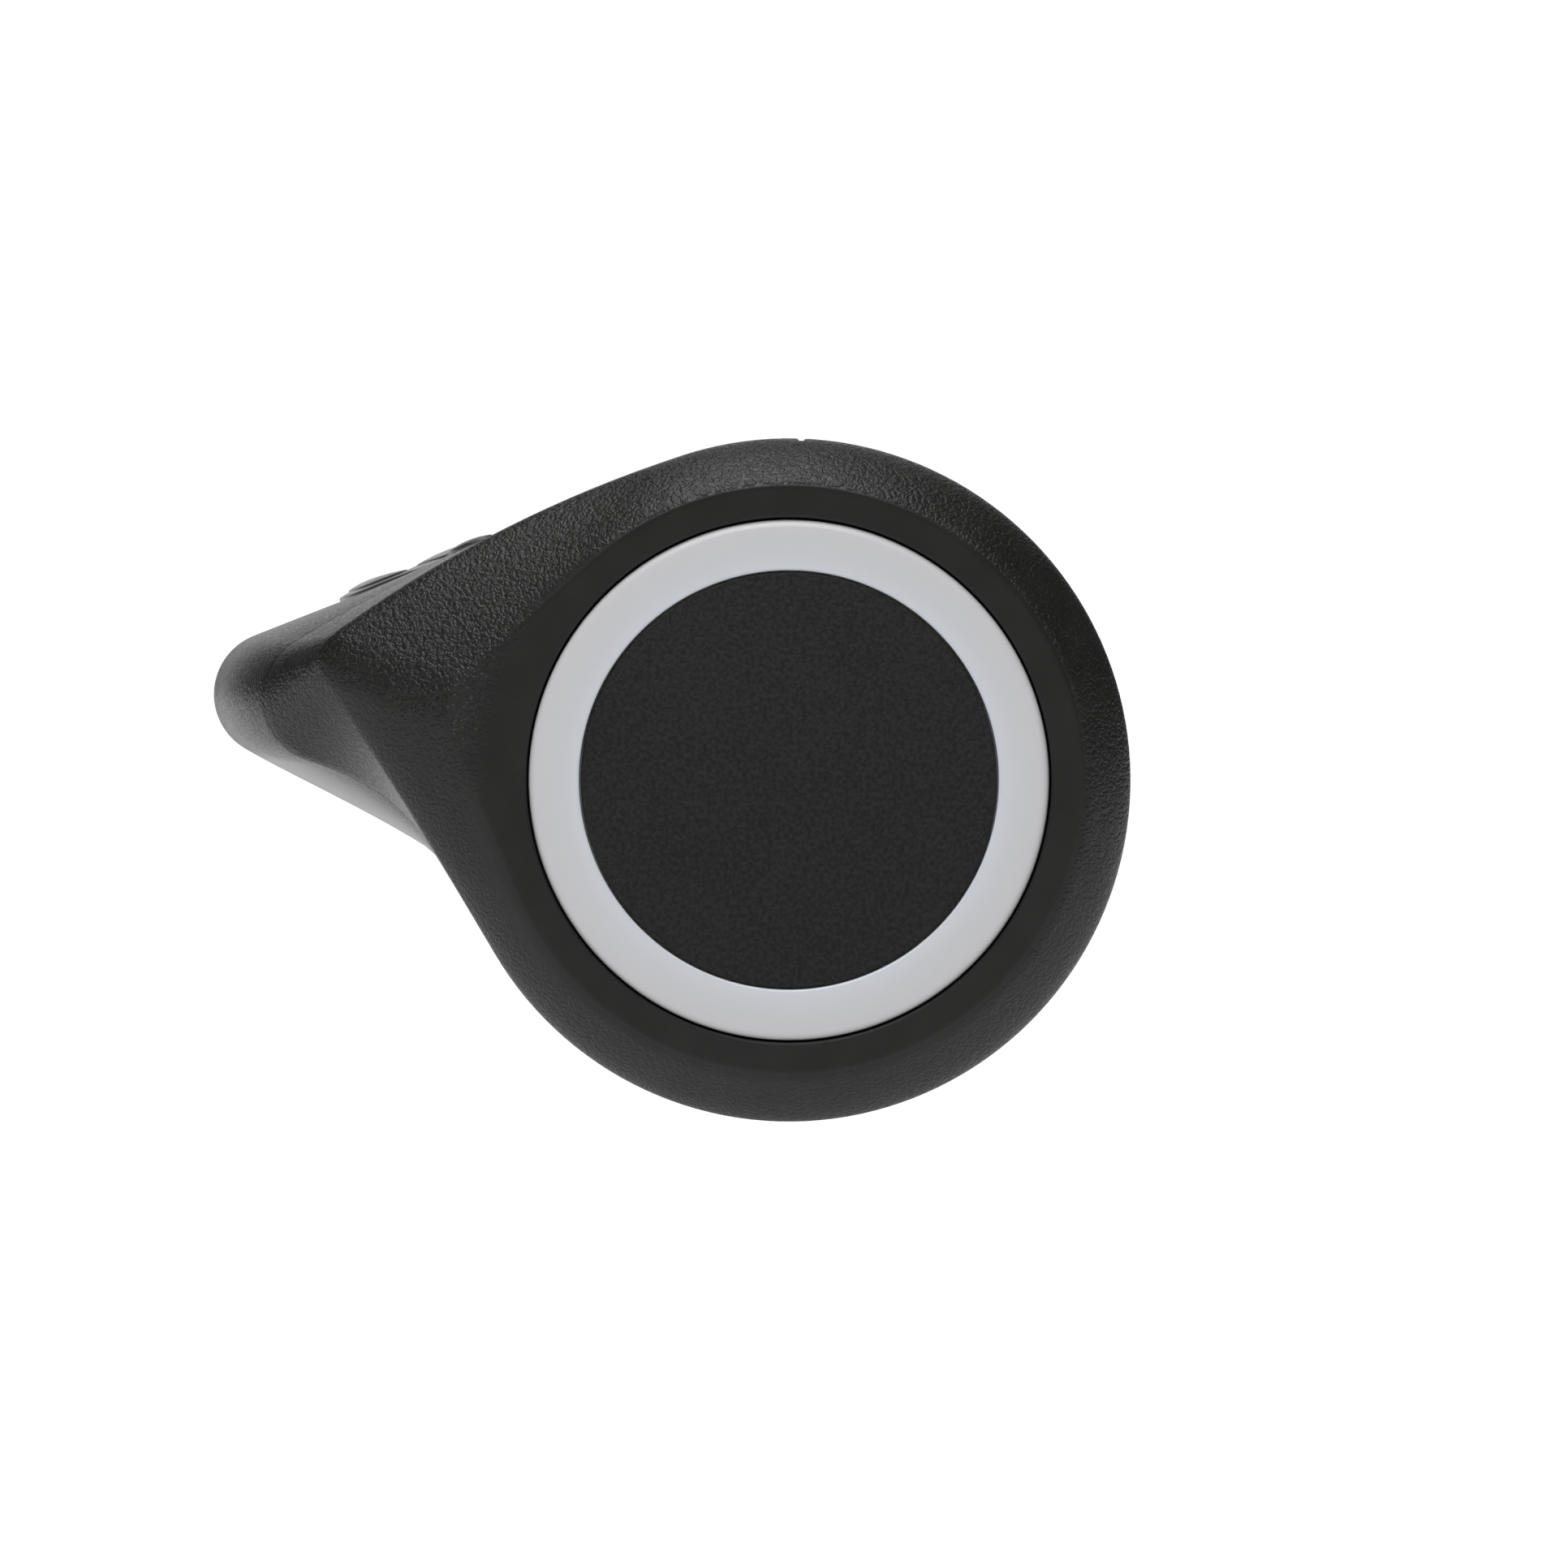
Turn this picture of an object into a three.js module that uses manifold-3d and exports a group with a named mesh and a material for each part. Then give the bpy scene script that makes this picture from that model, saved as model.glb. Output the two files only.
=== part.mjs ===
// A winged handlebar grip for the right-hand end of a 22.2 mm bar, with a locking collar.
//
// Millimetres. +Y runs along the bar towards the middle of the bike, -X points back to the
// rider's palm, where the wing is, and +Z is up. The origin is on the bar's axis, where the
// bar's end stops against the plug of the end cap.
//
// The rubber body is a loft. Every section is a round core and a small round wing tip, joined
// by a crowned line over the palm and by a hollow curve underneath. The tip has given sizes at
// five stations: the end face, the ridge at the end of its bevel, the shoulder behind the ridge,
// the wing's widest place and the neck. The sleeve, cap and inlay are revolved, and the collar is
// an extruded outline that is split and drilled.
import * as THREE from "three";
import { mergeVertices } from "three/addons/utils/BufferGeometryUtils.js";
import Module from "manifold-3d";

// Fits
const barRadius = 11.1;
const barClearance = 0.15;
const bondLine = 0.3; // between the sleeve and the rubber around it
const seatGap = 0.3; // between faces of loose pieces that meet
const capGap = 0.2; // the dark line round the cap

// Sleeve of stiff plastic under the rubber
const sleeveWall = 1.6;
const sleeveFlangeWidth = 2.9;
const sleeveFlangeThickness = 1.6;
const keyCount = 4;
const keyWidth = 3;
const keyHeight = 0.8;
const keyLength = 84;

// Rubber body: thickness over the sleeve and stations along the bar
const flangeRubber = 5.85;
const waistRubber = 4.05;
const neckRubber = 2.75;
const bodyLength = 119.5;
const capDepth = 6.5; // from the bar's end to the rubber's end face
const bevelWidth = 2.5;
const bevelDepth = 3.2;
const bevelPower = 1.5;
const flangeWidth = 3.5; // straight land behind the bevel
const waistRun = 20; // from the flange to the waist
const waistLength = 38;
const neckRun = 40; // from the waist to the neck
const endRounding = 1.2;
const palmShift = new THREE.Vector2(-1.8, 1.2); // thicker rubber towards the palm

// Wing: its stations along the bar
const shoulderDepth = 5.5; // from the ridge to the shoulder
const wingPeak = 36.5; // from the end face to the widest station
const creaseRun = 0.4; // each way from the ridge and the shoulder, where the form turns
const peakPower = 3; // how much the wing's growth slows down towards its widest station

// Wing: how far it hangs over beyond the round core
const faceOverhang = 2.4;
const ridgeOverhang = 7;
const shoulderOverhang = 10.4;
const wingOverhang = 14.6;
const neckOverhang = 0.7;

// Wing: radius of the tip, and height of its middle over the bar's axis
const faceTipRadius = 3;
const ridgeTipRadius = 2.1;
const shoulderTipRadius = 3.7;
const wingTipRadius = 3.65;
const neckTipRadius = 9;
const faceTipHeight = 3.6;
const ridgeTipHeight = 6.5;
const shoulderTipHeight = 4.6;
const wingTipHeight = 5;
const neckTipHeight = 1;

// Wing: bulge of the palm surface at each end, and hollow of the underside at tip and root
const ridgeCrown = THREE.MathUtils.degToRad(9.4);
const shoulderCrown = THREE.MathUtils.degToRad(5);
const wingCrown = THREE.MathUtils.degToRad(1);
const ridgeHollow = THREE.MathUtils.degToRad(1);
const shoulderHollow = THREE.MathUtils.degToRad(27);
const wingHollow = THREE.MathUtils.degToRad(5.5);
const shoulderRootHollow = THREE.MathUtils.degToRad(16);
const wingRootHollow = THREE.MathUtils.degToRad(21);
const shoulderRootHandle = 0.6; // handles of the underside curve, as shares of its span
const shoulderTipHandle = 0.3;
const wingRootHandle = 0.26;
const wingTipHandle = 0.25;

// Alignment notch on top of the flange
const notchOffset = 0.7;
const notchWidth = 0.5;
const notchDepth = 0.15;
const notchLength = 9;

// Raised palm pads
const padPitchAlong = 14.5;
const padPitchAcross = 5.2;
const padGap = 0.9;
const padLean = THREE.MathUtils.degToRad(12); // of the rows, from the bar's axis
const padSlant = THREE.MathUtils.degToRad(45); // of the pads' ends
const padHeight = 0.62;
const padShoulder = 0.45;
const padRoot = 0.6; // how far a pad is sunk into the body
const padCornerSoftness = 0.65;
const padFieldStart = 18; // from the end face to the first pad's corner
const padFieldEnd = 17; // from the inboard end
const padFieldInner = 5.5; // from the bar's axis, sideways
const padBorder = 7.3; // plain band along the wing's edge
const smallestPad = 1.25; // half the width of the narrowest pad that is moulded
const firstPadOffset = 14.3; // from the bar's axis to the first pad's corner

// End cap and its inlay
const capRim = 2.1; // flat rubber ring round the cap
const capThickness = 2.3;
const capProud = 0.1;
const capEdge = 0.4;
const plugWall = 1.75;
const plugClearance = 0.25;
const snapBeadHeight = 0.4;
const snapBeadWidth = 1;
const snapGrooveDepth = 0.45;
const plugSlotWidth = 1.6;
const plugSlots = 4;
const inlayRadius = 11.5;
const inlayThickness = 1;
const inlayRecess = 0.15;
const inlayClearance = 0.1;
const inlayPegs = 3;
const inlayPegRadius = 1.1;
const inlayPegCircle = 6.5;

// Locking collar and its screw
const collarWidth = 11;
const collarWall = 4.3;
const collarEdge = 0.6;
const collarClearance = 0.2;
const splitWidth = 1.8;
const screwRadius = 2;
const screwClearance = 0.25;
const screwLength = 12;
const screwHeadRadius = 3.5;
const screwHeadHeight = 4;
const screwWallInside = 1.9; // metal between the screw's hole and the bar
const screwHeadSeat = 4.2; // from the split's middle to the head's seat
const counterboreClearance = 0.25;
const bossWall = 0.9;
const bossCorner = 3.2;
const hexSocketAcross = 3;
const hexSocketDepth = 2;
const dogCount = 3;
const dogWidth = THREE.MathUtils.degToRad(26);
const dogLength = 3.2;
const dogClearance = 0.3;

// Facets
const coreFacets = 30;
const undersideFacets = 8;
const tipFacets = 7;
const palmFacets = 5;
const turnedFacets = 48;
const padFacets = 14;

const sleeveBore = barRadius + barClearance;
const sleeveRadius = sleeveBore + sleeveWall;
const rubberBore = sleeveRadius + bondLine;
const flangeRadius = rubberBore + flangeRubber;
const waistRadius = rubberBore + waistRubber;
const neckRadius = rubberBore + neckRubber;
const faceRadius = flangeRadius - bevelWidth;
const capRadius = faceRadius - capRim;
const faceY = -capDepth;
const bodyEnd = faceY + bodyLength;
const flangeEnd = faceY + bevelDepth + flangeWidth;
const waistStart = flangeEnd + waistRun;
const waistEnd = waistStart + waistLength;
const neckStart = waistEnd + neckRun;
const ridgeY = faceY + bevelDepth;
const shoulderY = ridgeY + shoulderDepth;
const peakY = faceY + wingPeak;

const { mapLinear, smoothstep, lerp, clamp } = THREE.MathUtils;
const fullTurn = 2 * Math.PI;

const wasm = await Module();
wasm.setup();

// A closed three.js geometry as a solid that can be joined and cut.
function solidOf(geometry) {
  const bare = new THREE.BufferGeometry();
  bare.setAttribute("position", geometry.getAttribute("position"));
  bare.setIndex(geometry.getIndex());
  const merged = mergeVertices(bare, 1e-5);
  return new wasm.Manifold(
    new wasm.Mesh({
      numProp: 3,
      vertProperties: merged.getAttribute("position").array,
      triVerts: new Uint32Array(merged.getIndex().array),
    }),
  );
}

function meshOf(name, solid, material) {
  const { vertProperties, triVerts } = solid.getMesh();
  const geometry = new THREE.BufferGeometry();
  geometry.setAttribute("position", new THREE.BufferAttribute(vertProperties, 3));
  geometry.setIndex(new THREE.BufferAttribute(triVerts, 1));
  geometry.computeVertexNormals();
  const mesh = new THREE.Mesh(geometry, material);
  mesh.name = name;
  return mesh;
}

// A profile of [radius, y] pairs turned about the bar's axis.
function turned(profile, facets = turnedFacets) {
  const points = profile.map(([radius, y]) => new THREE.Vector2(radius, y));
  return new THREE.LatheGeometry(points, facets);
}

// A round bar on the bar's axis, for cutting.
function plain(radius, from, to, facets = turnedFacets) {
  return turned([[0, from], [radius, from], [radius, to], [0, to]], facets);
}

// A shape in the plane across the bar, drawn in X and Z, extruded from one station to another.
function acrossBar(shape, from, to, edge = 0, curveSegments = turnedFacets) {
  const geometry = new THREE.ExtrudeGeometry(shape, {
    depth: to - from - 2 * edge,
    curveSegments,
    bevelEnabled: edge > 0,
    bevelThickness: edge,
    bevelSize: edge,
    bevelOffset: -edge,
    bevelSegments: 2,
  });
  return geometry.rotateX(Math.PI / 2).translate(0, to - edge, 0);
}

// Sizes of the body's section at one station

function coreRadius(y) {
  const bevel = clamp((y - faceY) / bevelDepth, 0, 1);
  const flange = flangeRadius - bevelWidth * (1 - bevel) ** bevelPower;
  const waist = lerp(flange, waistRadius, smoothstep(y, flangeEnd, waistStart));
  const neck = lerp(waist, neckRadius, smoothstep(y, waistEnd, neckStart));
  const turn = clamp((y - bodyEnd + endRounding) / endRounding, 0, 1);
  return neck - endRounding * (1 - Math.sqrt(1 - turn * turn));
}

// 0 below zero and x above it, with the corner between the two rounded off.
function hinge(x) {
  return x < creaseRun ? Math.max(0, x + creaseRun) ** 2 / (4 * creaseRun) : x;
}

// A share that grows evenly from 0 at one station to 1 at another.
function ramp(y, from, to) {
  return (hinge(y - from) - hinge(y - to)) / (to - from);
}

// A share that grows from 0 at the shoulder to 1 at the wing's widest station.
function towardsPeak(y) {
  return 1 - (1 - clamp(mapLinear(y, shoulderY, peakY, 0, 1), 0, 1)) ** peakPower;
}

function palmShare(y) {
  return smoothstep(y, ridgeY, peakY) * (1 - smoothstep(y, waistEnd, neckStart));
}

// A size of the wing's section at one station, from its values at the five named ones.
function sizeAlong(y, atFace, atRidge, atShoulder, atPeak, atNeck, neckShare) {
  const toRidge = lerp(atFace, atRidge, ramp(y, faceY, ridgeY));
  const toShoulder = lerp(toRidge, atShoulder, ramp(y, ridgeY, shoulderY));
  const toPeak = lerp(toShoulder, atPeak, towardsPeak(y));
  return lerp(toPeak, atNeck, neckShare);
}

function sectionAt(y) {
  const neck = smoothstep(y, waistEnd, bodyEnd);
  const taper = smoothstep(y, peakY, bodyEnd);
  const size = (...values) => sizeAlong(y, ...values, neck);
  const overhang = sizeAlong(
    y,
    faceOverhang,
    ridgeOverhang,
    shoulderOverhang,
    wingOverhang,
    neckOverhang,
    taper,
  );
  const tipRadius = size(
    faceTipRadius,
    ridgeTipRadius,
    shoulderTipRadius,
    wingTipRadius,
    neckTipRadius,
  );
  const tipHeight = size(
    faceTipHeight,
    ridgeTipHeight,
    shoulderTipHeight,
    wingTipHeight,
    neckTipHeight,
  );
  const crown = size(0, ridgeCrown, shoulderCrown, wingCrown, 0);
  const tipTurn = size(0, ridgeHollow, shoulderHollow, wingHollow, 0);
  const rootTurn = size(0, ridgeHollow, shoulderRootHollow, wingRootHollow, 0);
  const radius = coreRadius(y);
  const centre = palmShift.clone().multiplyScalar(palmShare(y));
  const reach = radius - centre.x + overhang;
  const tip = new THREE.Vector2(tipRadius - reach, tipHeight);

  // The outer tangents of the two circles touch both where their outward normals are these.
  const across = tip.clone().sub(centre);
  const spread = Math.acos(clamp((radius - tipRadius) / across.length(), -1, 1));
  const heading = (Math.atan2(across.y, across.x) + fullTurn) % fullTurn;
  return {
    radius,
    centre,
    tip,
    tipRadius,
    palmAngle: heading - spread - crown,
    tipAngleAbove: heading - spread + crown,
    tipAngleBelow: heading + spread + tipTurn,
    rootAngle: heading + spread - rootTurn,
    rootHandle: lerp(shoulderRootHandle, wingRootHandle, towardsPeak(y)),
    tipHandle: lerp(shoulderTipHandle, wingTipHandle, towardsPeak(y)),
  };
}

function onCircle(centre, radius, angle) {
  return new THREE.Vector2(Math.cos(angle), Math.sin(angle)).multiplyScalar(radius).add(centre);
}

function arc(centre, radius, from, to, steps) {
  return Array.from({ length: steps }, (_, i) =>
    onCircle(centre, radius, lerp(from, to, i / steps)),
  );
}

// The crowned palm line, from the tip to the core, tangent to both.
function palmLine(s) {
  const tipEnd = onCircle(s.tip, s.tipRadius, s.tipAngleAbove);
  const coreEnd = onCircle(s.centre, s.radius, s.palmAngle);
  const chord = coreEnd.clone().sub(tipEnd);
  const rise = (chord.length() / 2) * Math.tan((s.tipAngleAbove - s.palmAngle) / 2);
  const out = new THREE.Vector2(-chord.y, chord.x).normalize();
  const bulge = tipEnd.clone().lerp(coreEnd, 0.5).addScaledVector(out, rise);
  return new THREE.QuadraticBezierCurve(tipEnd, bulge, coreEnd);
}

// The outline of the body across one station, as points in X and Z. It runs clockwise from the
// end of the palm line, over the top, round the front and back along the hollow underside.
function outlineAt(y) {
  const s = sectionAt(y);
  const root = onCircle(s.centre, s.radius, s.rootAngle);
  const below = onCircle(s.tip, s.tipRadius, s.tipAngleBelow);
  const span = root.distanceTo(below);
  const rootWay = new THREE.Vector2(Math.sin(s.rootAngle), -Math.cos(s.rootAngle));
  const tipWay = new THREE.Vector2(-Math.sin(s.tipAngleBelow), Math.cos(s.tipAngleBelow));
  const underside = new THREE.CubicBezierCurve(
    root,
    root.clone().addScaledVector(rootWay, s.rootHandle * span),
    below.clone().addScaledVector(tipWay, s.tipHandle * span),
    below,
  );
  return [
    ...arc(s.centre, s.radius, s.palmAngle, s.rootAngle - fullTurn, coreFacets),
    ...underside.getPoints(undersideFacets).slice(0, -1),
    ...arc(s.tip, s.tipRadius, s.tipAngleBelow, s.tipAngleAbove, tipFacets),
    ...palmLine(s).getPoints(palmFacets).slice(0, -1),
  ];
}

// Height of the body's upper surface over a point of the plan.
function topHeight(x, y) {
  const section = sectionAt(y);
  const { centre, radius, tip, tipRadius } = section;
  const line = palmLine(section);
  if (x > line.v2.x) {
    return centre.y + Math.sqrt(Math.max(0, radius ** 2 - (x - centre.x) ** 2));
  }
  if (x < line.v0.x) {
    return tip.y + Math.sqrt(Math.max(0, tipRadius ** 2 - (x - tip.x) ** 2));
  }
  return line.getPoint(mapLinear(x, line.v0.x, line.v2.x, 0, 1)).y;
}

// A point at some height over the body's upper surface, measured square to it.
function overTop(x, y, height) {
  const reach = 0.2;
  const slopeX = (topHeight(x + reach, y) - topHeight(x - reach, y)) / (2 * reach);
  const slopeY = (topHeight(x, y + reach) - topHeight(x, y - reach)) / (2 * reach);
  const up = new THREE.Vector3(-slopeX, -slopeY, 1).normalize();
  return new THREE.Vector3(x, y, topHeight(x, y)).addScaledVector(up, height);
}

// Joins closed rings of points into one closed skin, with a fan over each end.
function skin(rings, firstCentre, lastCentre) {
  const count = rings[0].length;
  const positions = rings.flat().flatMap((p) => p.toArray());
  const index = [];
  const at = (r, i) => r * count + (i % count);
  for (let r = 0; r + 1 < rings.length; r++) {
    for (let i = 0; i < count; i++) {
      index.push(at(r, i), at(r + 1, i), at(r + 1, i + 1));
      index.push(at(r, i), at(r + 1, i + 1), at(r, i + 1));
    }
  }
  const first = rings.length * count;
  positions.push(...firstCentre.toArray(), ...lastCentre.toArray());
  for (let i = 0; i < count; i++) {
    index.push(first, at(0, i), at(0, i + 1));
    index.push(first + 1, at(rings.length - 1, i + 1), at(rings.length - 1, i));
  }
  const geometry = new THREE.BufferGeometry();
  geometry.setAttribute("position", new THREE.Float32BufferAttribute(positions, 3));
  geometry.setIndex(index);
  return geometry;
}

// Stations of the loft, close together at the ridge and the shoulder, where the form turns fast.
function loftStations() {
  const bevelSteps = 5;
  const facetSteps = 3;
  const cornerSteps = 8;
  const wingSteps = 15;
  const roundingSteps = 3;
  const spaced = (from, to, steps, power) =>
    Array.from({ length: steps }, (_, i) => lerp(from, to, (i / steps) ** power));
  const rounding = Array.from({ length: roundingSteps + 1 }, (_, i) =>
    bodyEnd - endRounding * Math.cos((i / roundingSteps) * (Math.PI / 2)),
  );
  return [
    ...spaced(faceY, ridgeY - creaseRun, bevelSteps, 1),
    ridgeY - creaseRun,
    ridgeY,
    ...spaced(ridgeY + creaseRun, shoulderY - creaseRun, facetSteps, 1),
    shoulderY - creaseRun,
    ...spaced(shoulderY + creaseRun, peakY, cornerSteps, 1.3),
    ...spaced(peakY, bodyEnd - endRounding, wingSteps, 1),
    ...rounding,
  ];
}

// Palm pads: slanted islands in leaning rows, trimmed along the wing's edge. Each pad is kept
// as the half-planes that bound it in plan.
function padPlan() {
  const along = new THREE.Vector2(-Math.sin(padLean), Math.cos(padLean));
  const slant = new THREE.Vector2(-Math.cos(padSlant), Math.sin(padSlant));
  const side = new THREE.Vector2(-along.y, along.x);
  const end = new THREE.Vector2(slant.y, -slant.x).negate();
  const rowStep = slant.clone().multiplyScalar(padPitchAcross / Math.abs(slant.dot(side)));
  const padStep = along.clone().multiplyScalar(padPitchAlong);
  const corner = new THREE.Vector2(-firstPadOffset, faceY + padFieldStart);
  const halfWide = (padPitchAcross - padGap) / 2;
  const halfLong = (Math.abs(padStep.dot(end)) - padGap) / 2;
  const rows = Math.ceil((wingOverhang + flangeRadius) / padPitchAcross);
  const columns = Math.ceil(bodyLength / padPitchAlong);
  const pads = [];
  for (let row = -rows; row <= rows; row++) {
    for (let column = -columns; column <= columns; column++) {
      const middle = corner
        .clone()
        .addScaledVector(rowStep, row + 0.5)
        .addScaledVector(padStep, column + 0.5 + (row % 2 === 0 ? 0 : 0.5) * (row < 0 ? -1 : 1));
      if (middle.y < faceY || middle.y > bodyEnd) {
        continue;
      }
      const pad = trimmedPad(middle, side, end, halfWide, halfLong);
      if (pad) {
        pads.push(pad);
      }
    }
  }
  return pads;
}

function edgeReach(y) {
  const { tip, tipRadius } = sectionAt(y);
  return tipRadius - tip.x - padBorder;
}

// The half-planes of one pad: its own four sides, the plain band along the wing's edge and the
// limits of the field. Nothing is returned where too little is left inside them.
function trimmedPad(middle, side, end, halfWide, halfLong) {
  const reach = edgeReach(middle.y);
  const slope = edgeReach(middle.y + 1) - reach;
  const edge = new THREE.Vector2(-1, -slope).normalize();
  const bounds = [
    { normal: side, limit: side.dot(middle) + halfWide },
    { normal: side.clone().negate(), limit: halfWide - side.dot(middle) },
    { normal: end, limit: end.dot(middle) + halfLong },
    { normal: end.clone().negate(), limit: halfLong - end.dot(middle) },
    { normal: edge, limit: edge.dot(new THREE.Vector2(-reach, middle.y)) },
    { normal: new THREE.Vector2(1, 0), limit: -padFieldInner },
    { normal: new THREE.Vector2(0, 1), limit: bodyEnd - padFieldEnd },
    { normal: new THREE.Vector2(0, -1), limit: -(faceY + padFieldStart) },
  ];
  const heart = deepestPoint(bounds, middle);
  return heart.depth < smallestPad ? null : { bounds, middle: heart.point };
}

// Walks from a start away from the nearest bound, to where all bounds are furthest.
function deepestPoint(bounds, start) {
  const point = start.clone();
  const steps = 300;
  for (let i = 0; i < steps; i++) {
    const nearest = bounds.reduce((a, b) =>
      a.normal.dot(point) - a.limit > b.normal.dot(point) - b.limit ? a : b,
    );
    point.addScaledVector(nearest.normal, -0.8 / (1 + i * 0.25));
  }
  const depth = Math.min(...bounds.map((b) => b.limit - b.normal.dot(point)));
  return { point, depth };
}

// How far a point of the plan is outside a pad's rounded outline, and less than 0 inside it.
function outsidePad(pad, point) {
  const sum = pad.bounds.reduce(
    (total, b) => total + Math.exp((b.normal.dot(point) - b.limit) / padCornerSoftness),
    0,
  );
  return padCornerSoftness * Math.log(sum);
}

// The pad's outline, drawn in by an inset, as points of the plan on rays from its middle.
function padOutline(pad, inset) {
  return Array.from({ length: padFacets }, (_, i) => {
    const ray = onCircle(new THREE.Vector2(), 1, (-i / padFacets) * fullTurn);
    let inside = 0;
    let outside = padPitchAlong;
    const halvings = 24;
    for (let k = 0; k < halvings; k++) {
      const half = (inside + outside) / 2;
      const point = pad.middle.clone().addScaledVector(ray, half);
      if (outsidePad(pad, point) > -inset) {
        outside = half;
      } else {
        inside = half;
      }
    }
    return pad.middle.clone().addScaledVector(ray, inside);
  });
}

function padGeometry(pad) {
  const levels = [
    [0, -padRoot],
    [0, padHeight - padShoulder],
    [padShoulder, padHeight],
  ];
  const rings = levels.map(([inset, height]) =>
    padOutline(pad, inset).map((p) => overTop(p.x, p.y, height)),
  );
  const { x, y } = pad.middle;
  return skin(rings, overTop(x, y, -padRoot), overTop(x, y, padHeight));
}

// The sleeve's outer form with some clearance all round, without its bore.
function sleeveForm(clearance) {
  const front = capBackY + seatGap;
  const flangeBack = front + sleeveFlangeThickness;
  const radius = sleeveRadius + clearance;
  const flange = sleeveRadius + sleeveFlangeWidth + clearance;
  let form = solidOf(
    turned([
      [0, front - clearance],
      [flange, front - clearance],
      [flange, flangeBack + clearance],
      [radius, flangeBack + clearance],
      [radius, bodyEnd],
      [0, bodyEnd],
    ]),
  );
  const keyRoot = 1;
  for (let i = 0; i < keyCount; i++) {
    const depth = keyRoot + keyHeight + clearance;
    const key = new THREE.BoxGeometry(depth, keyLength + 2 * clearance, keyWidth + 2 * clearance);
    key.translate(sleeveRadius - keyRoot + depth / 2, keyMiddleY, 0);
    key.rotateY(((i + 0.5) / keyCount) * fullTurn);
    form = form.add(solidOf(key));
  }
  return form;
}

const capFrontY = faceY - capProud;
const capBackY = capFrontY + capThickness;
const keyMiddleY = capBackY + seatGap + sleeveFlangeThickness + 6 + keyLength / 2;

// Rubber body: the loft with its pads, bored out round the sleeve and the cap.
function bodySolid() {
  const stations = loftStations().reverse();
  const rings = stations.map((y) => outlineAt(y).map((p) => new THREE.Vector3(p.x, y, p.y)));
  let body = solidOf(
    skin(rings, new THREE.Vector3(0, bodyEnd, 0), new THREE.Vector3(0, faceY, 0)),
  );
  for (const pad of padPlan()) {
    body = body.add(solidOf(padGeometry(pad)));
  }
  const past = 1;
  const capSeat = plain(capRadius + capGap, faceY - past, capBackY);
  const mouth = plain(rubberBore, bodyEnd - past, bodyEnd + past);
  const notch = new THREE.BoxGeometry(notchWidth, notchLength, notchDepth * 2);
  notch.translate(notchOffset, faceY + notchLength / 2, flangeRadius);
  return body
    .subtract(sleeveForm(bondLine))
    .subtract(solidOf(capSeat))
    .subtract(solidOf(mouth))
    .subtract(solidOf(notch));
}

// A segment of a ring round the bar, for the collar's dogs and the sleeve's notches.
function ringSegment(inner, outer, middle, width, from, to) {
  const shape = new THREE.Shape();
  shape.absarc(0, 0, outer, middle - width / 2, middle + width / 2, false);
  shape.absarc(0, 0, inner, middle + width / 2, middle - width / 2, true);
  shape.closePath();
  return acrossBar(shape, from, to, 0, 6);
}

function dogAngles() {
  return Array.from({ length: dogCount }, (_, i) => Math.PI / 2 + (i / dogCount) * fullTurn);
}

// Sleeve: a flanged tube with a snap groove for the cap, keys that hold the rubber against
// turning, and notches for the collar's dogs.
function sleeveSolid() {
  const front = capBackY + seatGap;
  const past = 1;
  const grooveY = front + sleeveFlangeThickness;
  const bore = plain(sleeveBore, front - past, bodyEnd + past);
  const groove = plain(
    sleeveBore + snapGrooveDepth,
    grooveY - snapBeadWidth / 2 - seatGap,
    grooveY + snapBeadWidth / 2 + seatGap,
  );
  let sleeve = sleeveForm(0).subtract(solidOf(bore)).subtract(solidOf(groove));
  for (const angle of dogAngles()) {
    const notch = ringSegment(
      sleeveBore - past,
      sleeveRadius + past,
      angle,
      dogWidth + (2 * dogClearance) / sleeveRadius,
      bodyEnd - dogLength,
      bodyEnd + past,
    );
    sleeve = sleeve.subtract(solidOf(notch));
  }
  return sleeve;
}

// End cap: a disc with a soft edge and a slotted plug that snaps into the sleeve. The rim of
// the plug is the stop for the bar's end.
function capSolid() {
  const plugRadius = sleeveBore - plugClearance;
  const plugBore = plugRadius - plugWall;
  const beadY = capBackY + seatGap + sleeveFlangeThickness;
  const beadRadius = plugRadius + snapBeadHeight;
  const profile = [
    [0, capFrontY],
    [capRadius - capEdge, capFrontY],
    [capRadius - capEdge * 0.3, capFrontY + capEdge * 0.3],
    [capRadius, capFrontY + capEdge],
    [capRadius, capBackY],
    [plugRadius, capBackY],
    [plugRadius, beadY - snapBeadWidth / 2],
    [beadRadius, beadY],
    [plugRadius, beadY + snapBeadWidth / 2],
    [plugRadius, 0],
    [plugBore, 0],
    [plugBore, capBackY],
    [0, capBackY],
  ];
  const past = 1;
  let cap = solidOf(turned(profile, 64));
  const seat = plain(inlayRadius + inlayClearance, capFrontY - past, inlayBackY + inlayClearance);
  cap = cap.subtract(solidOf(seat));
  for (let i = 0; i < plugSlots; i++) {
    const slot = new THREE.BoxGeometry(plugSlotWidth, -capBackY - seatGap, 2 * plugWall + past);
    slot.translate(0, capBackY / 2 + seatGap, plugRadius - plugWall / 2);
    slot.rotateY(((i + 0.5) / plugSlots) * fullTurn);
    cap = cap.subtract(solidOf(slot));
  }
  for (const at of pegPlaces()) {
    const hole = new THREE.CylinderGeometry(
      inlayPegRadius + inlayClearance,
      inlayPegRadius + inlayClearance,
      2 * capThickness,
      16,
    );
    hole.translate(at.x, capBackY, at.y);
    cap = cap.subtract(solidOf(hole));
  }
  return cap;
}

const inlayFrontY = capFrontY + inlayRecess;
const inlayBackY = inlayFrontY + inlayThickness;

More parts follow.
